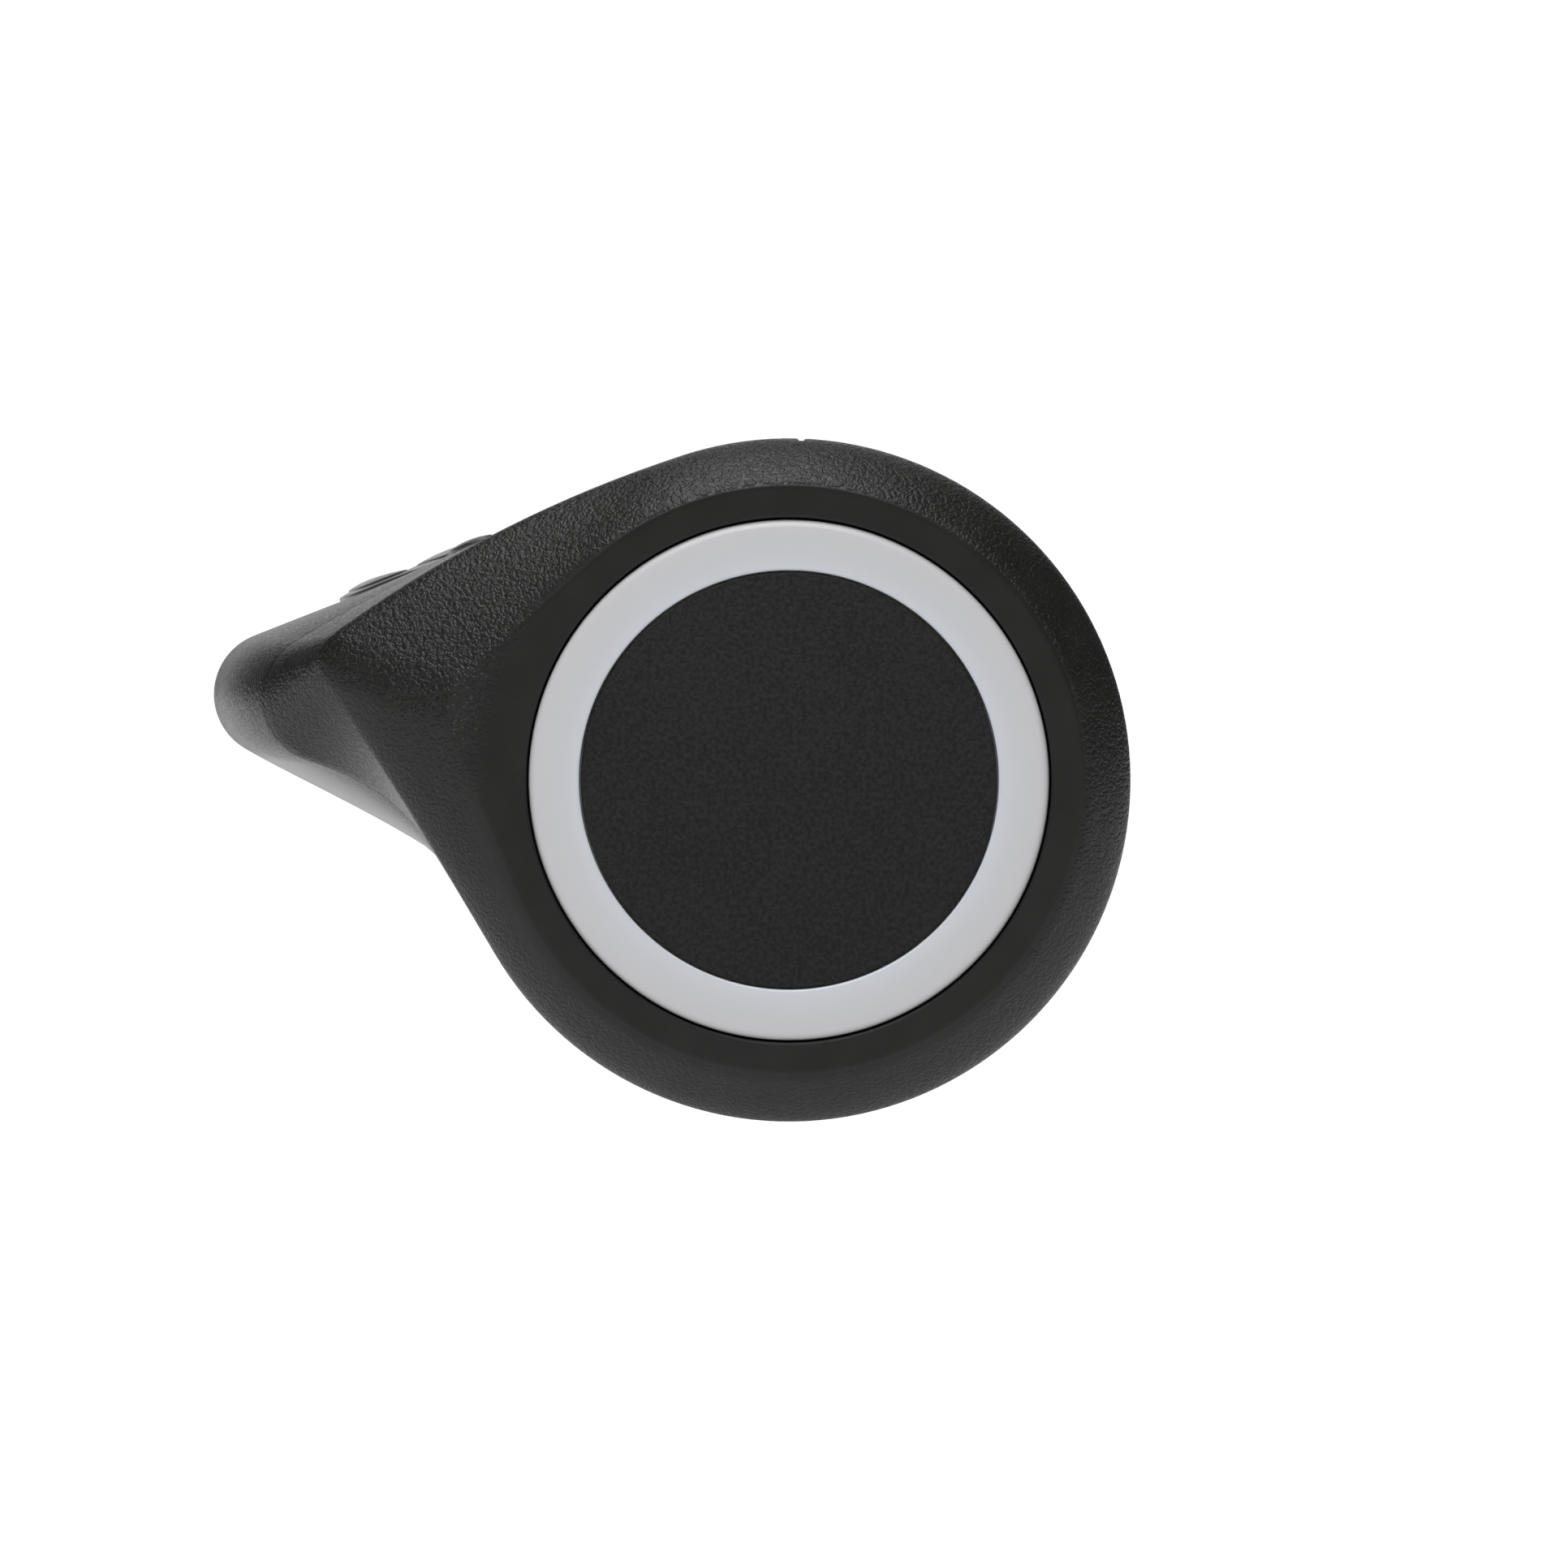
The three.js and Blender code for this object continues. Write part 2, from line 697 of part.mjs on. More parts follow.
function pegPlaces() {
  return Array.from({ length: inlayPegs }, (_, i) =>
    onCircle(new THREE.Vector2(), inlayPegCircle, Math.PI / 2 + (i / inlayPegs) * fullTurn),
  );
}

// Inlay: a plain dark disc let into the cap's face, with pegs through the cap.
function inlaySolid() {
  const edge = 0.12;
  let inlay = solidOf(
    turned(
      [
        [0, inlayFrontY],
        [inlayRadius - edge, inlayFrontY],
        [inlayRadius, inlayFrontY + edge],
        [inlayRadius, inlayBackY],
        [0, inlayBackY],
      ],
      64,
    ),
  );
  const pegRoot = 0.4;
  const pegEnd = capBackY - inlayClearance;
  for (const at of pegPlaces()) {
    const length = pegEnd - inlayBackY + pegRoot;
    const peg = new THREE.CylinderGeometry(inlayPegRadius, inlayPegRadius, length, 16);
    peg.translate(at.x, pegEnd - length / 2, at.y);
    inlay = inlay.add(solidOf(peg));
  }
  return inlay;
}

const collarFrontY = bodyEnd + seatGap;
const collarBackY = collarFrontY + collarWidth;
const collarBore = barRadius + collarClearance;
const collarRadius = collarBore + collarWall;
const screwHoleRadius = screwRadius + screwClearance;
const counterboreRadius = screwHeadRadius + counterboreClearance;
const screwZ = -(collarBore + screwWallInside + screwHoleRadius);
const screwY = (collarFrontY + collarBackY) / 2;
const bossHalf = screwHeadSeat + screwHeadHeight + bossWall;
const bossBottom = -screwZ + counterboreRadius + bossWall;

// The collar's outline: a ring that swells into a boss for the screw underneath.
function collarOutline() {
  const corner = new THREE.Vector2(bossHalf - bossCorner, bossCorner - bossBottom);
  const across = corner.length();
  const heading = Math.atan2(corner.y, corner.x);
  const touch = heading + Math.acos((collarRadius - bossCorner) / across);
  const shape = new THREE.Shape();
  shape.absarc(0, 0, collarRadius, touch, Math.PI - touch, false);
  shape.absarc(-corner.x, corner.y, bossCorner, Math.PI - touch, 1.5 * Math.PI, false);
  shape.absarc(corner.x, corner.y, bossCorner, -Math.PI / 2, touch, false);
  shape.closePath();
  const bore = new THREE.Path();
  bore.absarc(0, 0, collarBore, 0, fullTurn, true);
  shape.holes.push(bore);
  return shape;
}

// A round bar along X at the screw's place, between two distances from the split.
function alongScrew(radius, from, to, facets = 24) {
  const rod = new THREE.CylinderGeometry(radius, radius, to - from, facets);
  rod.rotateZ(-Math.PI / 2);
  rod.translate((from + to) / 2, screwY, screwZ);
  return rod;
}

// Collar: a split ring with a boss, drilled and counterbored for its screw, and dogs on its
// outboard face that lock into the sleeve.
function collarSolid() {
  const past = 2;
  let collar = solidOf(acrossBar(collarOutline(), collarFrontY, collarBackY, collarEdge, 12));
  const dogRoot = 1.2;
  for (const angle of dogAngles()) {
    const dog = ringSegment(
      collarBore,
      sleeveRadius,
      angle,
      dogWidth,
      collarFrontY - dogLength,
      collarFrontY + dogRoot,
    );
    collar = collar.add(solidOf(dog));
  }
  const split = new THREE.BoxGeometry(splitWidth, collarWidth + past, bossBottom);
  split.translate(0, screwY, -bossBottom / 2 - past);
  const hole = alongScrew(screwHoleRadius, -bossHalf - past, bossHalf + past);
  const counterbore = alongScrew(counterboreRadius, screwHeadSeat, bossHalf + past);
  return collar
    .subtract(solidOf(split))
    .subtract(solidOf(hole))
    .subtract(solidOf(counterbore));
}

// Screw: a socket head cap screw, turned about its own axis and laid along X.
function screwSolid() {
  const seat = screwHeadSeat + seatGap;
  const chamfer = 0.35;
  const profile = [
    [0, -screwLength],
    [screwRadius - chamfer, -screwLength],
    [screwRadius, chamfer - screwLength],
    [screwRadius, 0],
    [screwHeadRadius, 0],
    [screwHeadRadius, screwHeadHeight - chamfer],
    [screwHeadRadius - chamfer, screwHeadHeight],
    [0, screwHeadHeight],
  ];
  const past = 1;
  const hexRadius = hexSocketAcross / Math.sqrt(3);
  const socket = new THREE.CylinderGeometry(hexRadius, hexRadius, hexSocketDepth + past, 6);
  socket.translate(0, screwHeadHeight + (past - hexSocketDepth) / 2, 0);
  return solidOf(turned(profile, 24))
    .subtract(solidOf(socket))
    .rotate([0, 0, -90])
    .translate([seat, screwY, screwZ]);
}

function material(color, roughness, metalness) {
  return new THREE.MeshStandardMaterial({ color, roughness, metalness });
}

const rubber = material(0x2e2e2f, 0.72, 0);
const stiffPlastic = material(0x1c1d1e, 0.55, 0);
const greyPlastic = material(0xc3c4c8, 0.42, 0);
const darkPlastic = material(0x2b2d2b, 0.8, 0);
const anodised = material(0x232427, 0.42, 0.9);
const steel = material(0x8f9194, 0.32, 1);

const grip = new THREE.Group();
grip.add(meshOf("grip_body", bodySolid(), rubber));
grip.add(meshOf("inner_sleeve", sleeveSolid(), stiffPlastic));
grip.add(meshOf("end_cap", capSolid(), greyPlastic));
grip.add(meshOf("cap_inlay", inlaySolid(), darkPlastic));
grip.add(meshOf("locking_collar", collarSolid(), anodised));
grip.add(meshOf("collar_screw", screwSolid(), steel));

export default grip;
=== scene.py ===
import math

import bmesh
import bpy
from mathutils import Matrix, Vector


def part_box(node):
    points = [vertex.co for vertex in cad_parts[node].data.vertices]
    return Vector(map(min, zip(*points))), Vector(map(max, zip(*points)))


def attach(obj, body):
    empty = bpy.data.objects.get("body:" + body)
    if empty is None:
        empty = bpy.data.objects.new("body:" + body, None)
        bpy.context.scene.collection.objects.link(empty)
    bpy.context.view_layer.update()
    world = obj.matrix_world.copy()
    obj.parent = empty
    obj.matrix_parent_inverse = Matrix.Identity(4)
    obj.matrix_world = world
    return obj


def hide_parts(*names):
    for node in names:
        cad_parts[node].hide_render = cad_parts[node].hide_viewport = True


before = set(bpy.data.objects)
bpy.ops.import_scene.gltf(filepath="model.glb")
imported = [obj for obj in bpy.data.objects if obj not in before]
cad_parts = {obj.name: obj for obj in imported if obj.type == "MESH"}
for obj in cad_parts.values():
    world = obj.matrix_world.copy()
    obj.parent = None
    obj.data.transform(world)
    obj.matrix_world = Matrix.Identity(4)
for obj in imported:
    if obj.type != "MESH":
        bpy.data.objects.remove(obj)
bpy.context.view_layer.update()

# Inner sleeve
# The stiff tube that slides onto the bar, moulded in glass-filled nylon before the rubber goes
# over it. Four keys hold the rubber, a groove takes the cap's bead, notches take the collar's dogs.

MM = 0.001

sleeve_low, sleeve_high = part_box("inner_sleeve")
collar_low, collar_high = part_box("locking_collar")
cap_low, cap_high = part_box("end_cap")

sleeve_front = sleeve_low.y
sleeve_end = sleeve_high.y
sleeve_bore = 11.25 * MM
sleeve_wall = 1.6 * MM
sleeve_radius = sleeve_bore + sleeve_wall
sleeve_flange_radius = sleeve_high.x
sleeve_flange_thickness = 1.6 * MM
snap_groove_depth = 0.45 * MM
snap_groove_half = 0.8 * MM
key_count = 4
key_width = 3 * MM
key_height = 0.8 * MM
key_length = 84 * MM
key_start = sleeve_front + sleeve_flange_thickness + 6 * MM
dog_count = 3
dog_width = math.radians(26)
dog_length = 3.2 * MM
dog_clearance = 0.3 * MM


def new_object(name, mesh, material=None):
    obj = bpy.data.objects.new(name, mesh)
    bpy.context.scene.collection.objects.link(obj)
    if material:
        mesh.materials.clear()
        mesh.materials.append(material)
    return obj


def mesh_from(name, points, faces):
    """A mesh with doubled points merged and all faces turned outwards."""
    mesh = bpy.data.meshes.new(name)
    mesh.from_pydata([tuple(p) for p in points], [], faces)
    shape = bmesh.new()
    shape.from_mesh(mesh)
    bmesh.ops.remove_doubles(shape, verts=shape.verts, dist=1e-7)
    bmesh.ops.recalc_face_normals(shape, faces=shape.faces)
    shape.to_mesh(mesh)
    shape.free()
    return mesh


def soften(mesh, crease=math.radians(28)):
    """Shades a mesh smooth, apart from edges sharper than the crease angle."""
    shape = bmesh.new()
    shape.from_mesh(mesh)
    for face in shape.faces:
        face.smooth = True
    for edge in shape.edges:
        edge.smooth = edge.calc_face_angle(0.0) < crease
    shape.to_mesh(mesh)
    shape.free()


def turned(name, profile, segments=192):
    """A closed profile of (radius, y) pairs, turned about the bar's axis."""
    points, faces = [], []
    count = len(profile)
    for step in range(segments):
        angle = step / segments * math.tau
        points += [(r * math.cos(angle), y, r * math.sin(angle)) for r, y in profile]
    for step in range(segments):
        here, there = step * count, (step + 1) % segments * count
        for i in range(count):
            j = (i + 1) % count
            faces.append((here + i, here + j, there + j, there + i))
    mesh = mesh_from(name, points, faces)
    shape = bmesh.new()
    shape.from_mesh(mesh)
    bmesh.ops.dissolve_degenerate(shape, edges=shape.edges, dist=1e-8)
    shape.to_mesh(mesh)
    shape.free()
    return mesh


def rounded(profile, radius, steps=4):
    """The same closed profile with each marked corner (radius, y, True) rounded off."""
    out = []
    count = len(profile)
    for i, corner in enumerate(profile):
        here = Vector(corner[:2])
        if len(corner) < 3:
            out.append(tuple(here))
            continue
        before = (Vector(profile[i - 1][:2]) - here).normalized()
        after = (Vector(profile[(i + 1) % count][:2]) - here).normalized()
        for step in range(steps + 1):
            t = step / steps
            start, end = here + before * radius, here + after * radius
            point = start * (1 - t) ** 2 + here * 2 * t * (1 - t) + end * t**2
            out.append(tuple(point))
    return out


def block(name, low, high, turn=0.0, edge=0.0):
    """A box between two corners, turned about the bar's axis."""
    shape = bmesh.new()
    bmesh.ops.create_cube(shape, size=1)
    size = [high[i] - low[i] for i in range(3)]
    middle = [(high[i] + low[i]) / 2 for i in range(3)]
    place = Matrix.Translation(middle) @ Matrix.Diagonal((*size, 1))
    bmesh.ops.transform(shape, matrix=place, verts=shape.verts)
    if edge:
        bmesh.ops.bevel(shape, geom=shape.edges, offset=edge, segments=3, affect="EDGES")
    bmesh.ops.transform(shape, matrix=Matrix.Rotation(turn, 4, "Y"), verts=shape.verts)
    mesh = bpy.data.meshes.new(name)
    shape.to_mesh(mesh)
    shape.free()
    return mesh


def rod(name, radius, length, place, segments):
    """A straight bar, with its middle and direction given by a matrix."""
    shape = bmesh.new()
    bmesh.ops.create_cone(
        shape,
        cap_ends=True,
        segments=segments,
        radius1=radius,
        radius2=radius,
        depth=length,
        matrix=place,
    )
    mesh = bpy.data.meshes.new(name)
    shape.to_mesh(mesh)
    shape.free()
    return mesh


def ring_segment(name, inner, outer, middle, width, start, end, steps=16):
    """A piece of a ring round the bar, as the collar's dogs are."""
    points, faces = [], []
    for step in range(steps + 1):
        angle = middle + (step / steps - 0.5) * width
        for radius, y in ((inner, start), (outer, start), (outer, end), (inner, end)):
            points.append((radius * math.cos(angle), y, radius * math.sin(angle)))
    for step in range(steps):
        for i in range(4):
            j = (i + 1) % 4
            here, there = step * 4, (step + 1) * 4
            faces.append((here + i, here + j, there + j, there + i))
    faces += [(3, 2, 1, 0), tuple(steps * 4 + i for i in range(4))]
    return mesh_from(name, points, faces)


def evaluated_mesh(obj):
    """The object's mesh as its modifiers leave it, which are then taken off."""
    graph = bpy.context.evaluated_depsgraph_get()
    mesh = bpy.data.meshes.new_from_object(obj.evaluated_get(graph))
    obj.modifiers.clear()
    return mesh


def add_node(nodes, kind, operation=None, values=()):
    """A node with its operation and the values of its unlinked inputs set."""
    node = nodes.new(kind)
    if operation:
        node.operation = operation
    for socket, value in values:
        node.inputs[socket].default_value = value
    return node


def link(source, output, target, socket):
    """Wires an output of one node to an input of another."""
    source.id_data.links.new(source.outputs[output], target.inputs[socket])


def round_the_bar_tree():
    """Geometry Nodes: copies of a solid, spaced evenly round the bar's axis."""
    tree = bpy.data.node_groups.new("spaced_round_the_bar", "GeometryNodeTree")
    sockets = tree.interface
    sockets.new_socket("Solid", in_out="INPUT", socket_type="NodeSocketGeometry")
    sockets.new_socket("Copies", in_out="INPUT", socket_type="NodeSocketInt")
    sockets.new_socket("Finish", in_out="INPUT", socket_type="NodeSocketMaterial")
    sockets.new_socket("Copies round the bar", in_out="OUTPUT", socket_type="NodeSocketGeometry")
    nodes = tree.nodes
    given = nodes.new("NodeGroupInput")
    instance = nodes.new("GeometryNodeGeometryToInstance")
    copies = nodes.new("GeometryNodeDuplicateElements")
    copies.domain = "INSTANCE"
    share = add_node(nodes, "ShaderNodeMath", "DIVIDE")
    angle = add_node(nodes, "ShaderNodeMath", "MULTIPLY", [(1, -math.tau)])
    euler = nodes.new("ShaderNodeCombineXYZ")
    turn = nodes.new("FunctionNodeEulerToRotation")
    rotate = nodes.new("GeometryNodeRotateInstances")
    rotate.inputs["Local Space"].default_value = False
    realize = nodes.new("GeometryNodeRealizeInstances")
    finish = nodes.new("GeometryNodeSetMaterial")
    result = nodes.new("NodeGroupOutput")
    link(given, "Solid", instance, 0)
    link(instance, 0, copies, "Geometry")
    link(given, "Copies", copies, "Amount")
    link(copies, "Duplicate Index", share, 0)
    link(given, "Copies", share, 1)
    link(share, 0, angle, 0)
    link(angle, 0, euler, "Y")
    link(euler, 0, turn, 0)
    link(copies, "Geometry", rotate, "Instances")
    link(turn, 0, rotate, "Rotation")
    link(rotate, 0, realize, 0)
    link(realize, 0, finish, "Geometry")
    link(given, "Finish", finish, "Material")
    link(finish, 0, result, 0)
    return tree


round_the_bar = round_the_bar_tree()


def spaced_round_bar(mesh, copies, material):
    """The solid repeated round the bar's axis, as one mesh."""
    obj = new_object("repeated", mesh)
    spread = obj.modifiers.new("spread", "NODES")
    spread.node_group = round_the_bar
    given = {s.name: s.identifier for s in round_the_bar.interface.items_tree if s.in_out == "INPUT"}
    spread[given["Copies"]] = copies
    spread[given["Finish"]] = material
    obj.update_tag()
    result = evaluated_mesh(obj)
    bpy.data.objects.remove(obj)
    return result


def joined(name, base, solids, operation):
    """The base mesh with each of the solids added to it or cut from it."""
    obj = new_object(name, base)
    others = []
    for solid in solids:
        other = new_object("tool", solid)
        others.append(other)
        step = obj.modifiers.new("step", "BOOLEAN")
        step.operation = operation
        step.solver = "EXACT"
        step.object = other
    mesh = evaluated_mesh(obj)
    for other in [obj, *others]:
        bpy.data.objects.remove(other)
    mesh.name = name
    return mesh


def placed(name, mesh, material, slot, *nodes):
    """A finished piece: it rides with the grip and stands for its CAD nodes."""
    obj = new_object(name, mesh, material)
    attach(obj, "root")
    if nodes:
        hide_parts(*nodes)


def speckle_group():
    """Shader group: a fine moulded or blasted surface, as a height and a mask."""
    tree = bpy.data.node_groups.new("fine_speckle", "ShaderNodeTree")
    sockets = tree.interface
    sockets.new_socket("Vector", in_out="INPUT", socket_type="NodeSocketVector")
    sockets.new_socket("Grains per metre", in_out="INPUT", socket_type="NodeSocketFloat")
    sockets.new_socket("Height", in_out="OUTPUT", socket_type="NodeSocketFloat")
    sockets.new_socket("Mottle", in_out="OUTPUT", socket_type="NodeSocketFloat")
    nodes = tree.nodes
    given = nodes.new("NodeGroupInput")
    fine = add_node(nodes, "ShaderNodeTexNoise", values=[("Detail", 3)])
    coarse_scale = add_node(nodes, "ShaderNodeMath", "MULTIPLY", [(1, 0.06)])
    coarse = add_node(nodes, "ShaderNodeTexNoise", values=[("Detail", 4)])
    result = nodes.new("NodeGroupOutput")
    link(given, "Vector", fine, "Vector")
    link(given, "Vector", coarse, "Vector")
    link(given, "Grains per metre", fine, "Scale")
    link(given, "Grains per metre", coarse_scale, 0)
    link(coarse_scale, 0, coarse, "Scale")
    link(fine, "Fac", result, "Height")
    link(coarse, "Fac", result, "Mottle")
    return tree


fine_speckle = speckle_group()


def add_ramp(nodes, stops):
    """A colour ramp node with the given (place, grey or colour) stops."""
    ramp = nodes.new("ShaderNodeValToRGB")
    elements = ramp.color_ramp.elements
    while len(elements) < len(stops):
        elements.new(0.5)
    for element, (place, tone) in zip(elements, stops):
        element.position = place
        element.color = (*tone, 1) if isinstance(tone, tuple) else (tone, tone, tone, 1)
    return ramp


def blank_material(name, shine, metallic=0.0):
    """A new material, and the parts that its colour and surface are built from."""
    material = bpy.data.materials.new(name)
    material.use_nodes = True
    nodes = material.node_tree.nodes
    shader = nodes["Principled BSDF"]
    shader.inputs["Specular IOR Level"].default_value = shine
    shader.inputs["Metallic"].default_value = metallic
    return material, nodes, shader, nodes.new("ShaderNodeTexCoord")


def add_speckle(nodes, place, grains):
    """The fine speckle, laid over the piece by its own coordinates."""
    speckle = nodes.new("ShaderNodeGroup")
    speckle.node_tree = fine_speckle
    speckle.inputs["Grains per metre"].default_value = grains
    link(place, "Object", speckle, "Vector")
    return speckle


def wire_shader(shader, colour, rough, surface):
    link(colour, "Color", shader, "Base Color")
    link(rough, "Color", shader, "Roughness")
    link(surface, "Normal", shader, "Normal")


def speckled_material(name, dark, light, grains, bump, roughness, metallic=0.0, shine=0.5):
    """A material whose colour, roughness and surface vary with the fine speckle."""
    material, nodes, shader, place = blank_material(name, shine, metallic)
    speckle = add_speckle(nodes, place, grains)
    blend = add_node(nodes, "ShaderNodeMath", "MULTIPLY_ADD", [(1, 0.85)])
    part = add_node(nodes, "ShaderNodeMath", "MULTIPLY", [(1, 0.15)])
    colour = add_ramp(nodes, [(0.4, dark), (0.6, light)])
    rough = add_ramp(nodes, [(0.3, roughness[0]), (0.7, roughness[1])])
    surface = add_node(nodes, "ShaderNodeBump", values=[("Strength", 1.0), ("Distance", bump)])
    link(speckle, "Mottle", part, 0)
    link(speckle, "Height", blend, 0)
    link(part, 0, blend, 2)
    link(blend, 0, colour, "Fac")
    link(speckle, "Mottle", rough, "Fac")
    link(speckle, "Height", surface, "Height")
    wire_shader(shader, colour, rough, surface)
    return material


glass_filled_nylon = speckled_material(
    "glass_filled_nylon",
    (0.011, 0.012, 0.013),
    (0.024, 0.025, 0.026),
    grains=5200,
    bump=0.012 * MM,
    roughness=(0.42, 0.6),
)

groove_middle = sleeve_front + sleeve_flange_thickness
sleeve_profile = rounded(
    [
        (sleeve_bore, sleeve_front, True),
        (sleeve_flange_radius, sleeve_front, True),
        (sleeve_flange_radius, sleeve_front + sleeve_flange_thickness, True),
        (sleeve_radius, sleeve_front + sleeve_flange_thickness),
        (sleeve_radius, sleeve_end, True),
        (sleeve_bore, sleeve_end, True),
        (sleeve_bore, groove_middle + snap_groove_half),
        (sleeve_bore + snap_groove_depth, groove_middle + snap_groove_half),
        (sleeve_bore + snap_groove_depth, groove_middle - snap_groove_half),
        (sleeve_bore, groove_middle - snap_groove_half),
    ],
    radius=0.18 * MM,
)
key_sunk = 1 * MM
key = block(
    "key",
    (sleeve_radius - key_sunk, key_start, -key_width / 2),
    (sleeve_radius + key_height, key_start + key_length, key_width / 2),
    turn=-math.tau / 8,
    edge=0.2 * MM,
)
dog_notch = ring_segment(
    "dog_notch",
    sleeve_bore - key_sunk,
    sleeve_radius + key_sunk,
    math.pi / 2,
    dog_width + 2 * dog_clearance / sleeve_radius,
    sleeve_end - dog_length,
    sleeve_end + key_sunk,
)
sleeve = joined(
    "inner_sleeve_tube",
    turned("sleeve", sleeve_profile),
    [spaced_round_bar(key, key_count, glass_filled_nylon)],
    "UNION",
)
sleeve = joined(
    "inner_sleeve_tube",
    sleeve,
    [spaced_round_bar(dog_notch, dog_count, glass_filled_nylon)],
    "DIFFERENCE",
)
soften(sleeve)
placed("inner_sleeve_tube", sleeve, glass_filled_nylon, "black_nylon", "inner_sleeve")

# Grip body
# The soft rubber, moulded over the sleeve in one shot: round flange, waist and palm wing.
# The outside has an etched leather-like grain; the end ring and the wing's underside are smooth.

body_low, body_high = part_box("grip_body")
face_y = body_low.y
body_end = body_high.y
wing_reach = -body_low.x

bond_line = 0.3 * MM
seat_gap = 0.3 * MM
rubber_bore = sleeve_radius + bond_line
flange_radius = rubber_bore + 5.85 * MM
waist_radius = rubber_bore + 4.05 * MM
neck_radius = rubber_bore + 2.75 * MM
bevel_width = 2.5 * MM
bevel_depth = 3.2 * MM
bevel_power = 1.5
flange_width = 3.5 * MM
waist_run = 20 * MM
waist_length = 38 * MM
neck_run = 40 * MM
end_rounding = 1.2 * MM
face_edge = 0.3 * MM
palm_shift = Vector((-1.8, 1.2)) * MM

shoulder_depth = 5.5 * MM
wing_peak = 36.5 * MM
crease_run = 0.4 * MM
peak_power = 3
# The wing's tip at five stations: end face, ridge, shoulder, widest place and neck
near_overhangs = (2.4 * MM, 7 * MM, 10.4 * MM)
neck_overhang = 0.7 * MM
tip_radii = (3 * MM, 2.1 * MM, 3.7 * MM, 3.65 * MM, 9 * MM)
tip_heights = (3.6 * MM, 6.5 * MM, 4.6 * MM, 5 * MM, 1 * MM)
palm_crowns = [math.radians(a) for a in (0, 9.4, 5, 1, 0)]
tip_hollows = [math.radians(a) for a in (0, 1, 27, 5.5, 0)]
root_hollows = [math.radians(a) for a in (0, 1, 16, 21, 0)]
shoulder_root_handle = 0.6
shoulder_tip_handle = 0.3
wing_root_handle = 0.26
wing_tip_handle = 0.25

flange_end = face_y + bevel_depth + flange_width
waist_start = flange_end + waist_run
waist_end = waist_start + waist_length
neck_start = waist_end + neck_run
ridge_y = face_y + bevel_depth
shoulder_y = ridge_y + shoulder_depth
peak_y = face_y + wing_peak
wing_overhang = wing_reach + palm_shift.x - waist_radius


def clamp(value, low=0.0, high=1.0):
    return max(low, min(high, value))


def lerp(a, b, t):
    return a + (b - a) * t


def smooth(value, start, end):
    """0 before start, 1 after end, and a soft S between them."""
    t = clamp((value - start) / (end - start))
    return t * t * (3 - 2 * t)


def hinge(x):
    """0 below zero and x above it, with the corner between the two rounded off."""
    return max(0, x + crease_run) ** 2 / (4 * crease_run) if x < crease_run else x


def even_share(value, start, end):
    """From 0 at start to 1 at end, evenly."""
    return (hinge(value - start) - hinge(value - end)) / (end - start)


def towards_peak(y):
    return 1 - (1 - clamp((y - shoulder_y) / (peak_y - shoulder_y))) ** peak_power


def along_wing(y, at_face, at_ridge, at_shoulder, at_peak, at_neck, neck_share):
    """A size of the wing's section at one station, from its values at five of them."""
    to_ridge = lerp(at_face, at_ridge, even_share(y, face_y, ridge_y))
    to_shoulder = lerp(to_ridge, at_shoulder, even_share(y, ridge_y, shoulder_y))
    return lerp(lerp(to_shoulder, at_peak, towards_peak(y)), at_neck, neck_share)


def core_radius(y):
    bevel = clamp((y - face_y) / bevel_depth)
    flange = flange_radius - bevel_width * (1 - bevel) ** bevel_power
    waist = lerp(flange, waist_radius, smooth(y, flange_end, waist_start))
    neck = lerp(waist, neck_radius, smooth(y, waist_end, neck_start))
    inboard = clamp((y - body_end + end_rounding) / end_rounding)
    outboard = clamp(1 - (y - face_y) / face_edge)
    rounding = end_rounding * (1 - math.sqrt(1 - inboard**2))
    return neck - rounding - face_edge * (1 - math.sqrt(1 - outboard**2))


def on_circle(centre, radius, angle):
    return centre + Vector((math.cos(angle), math.sin(angle))) * radius


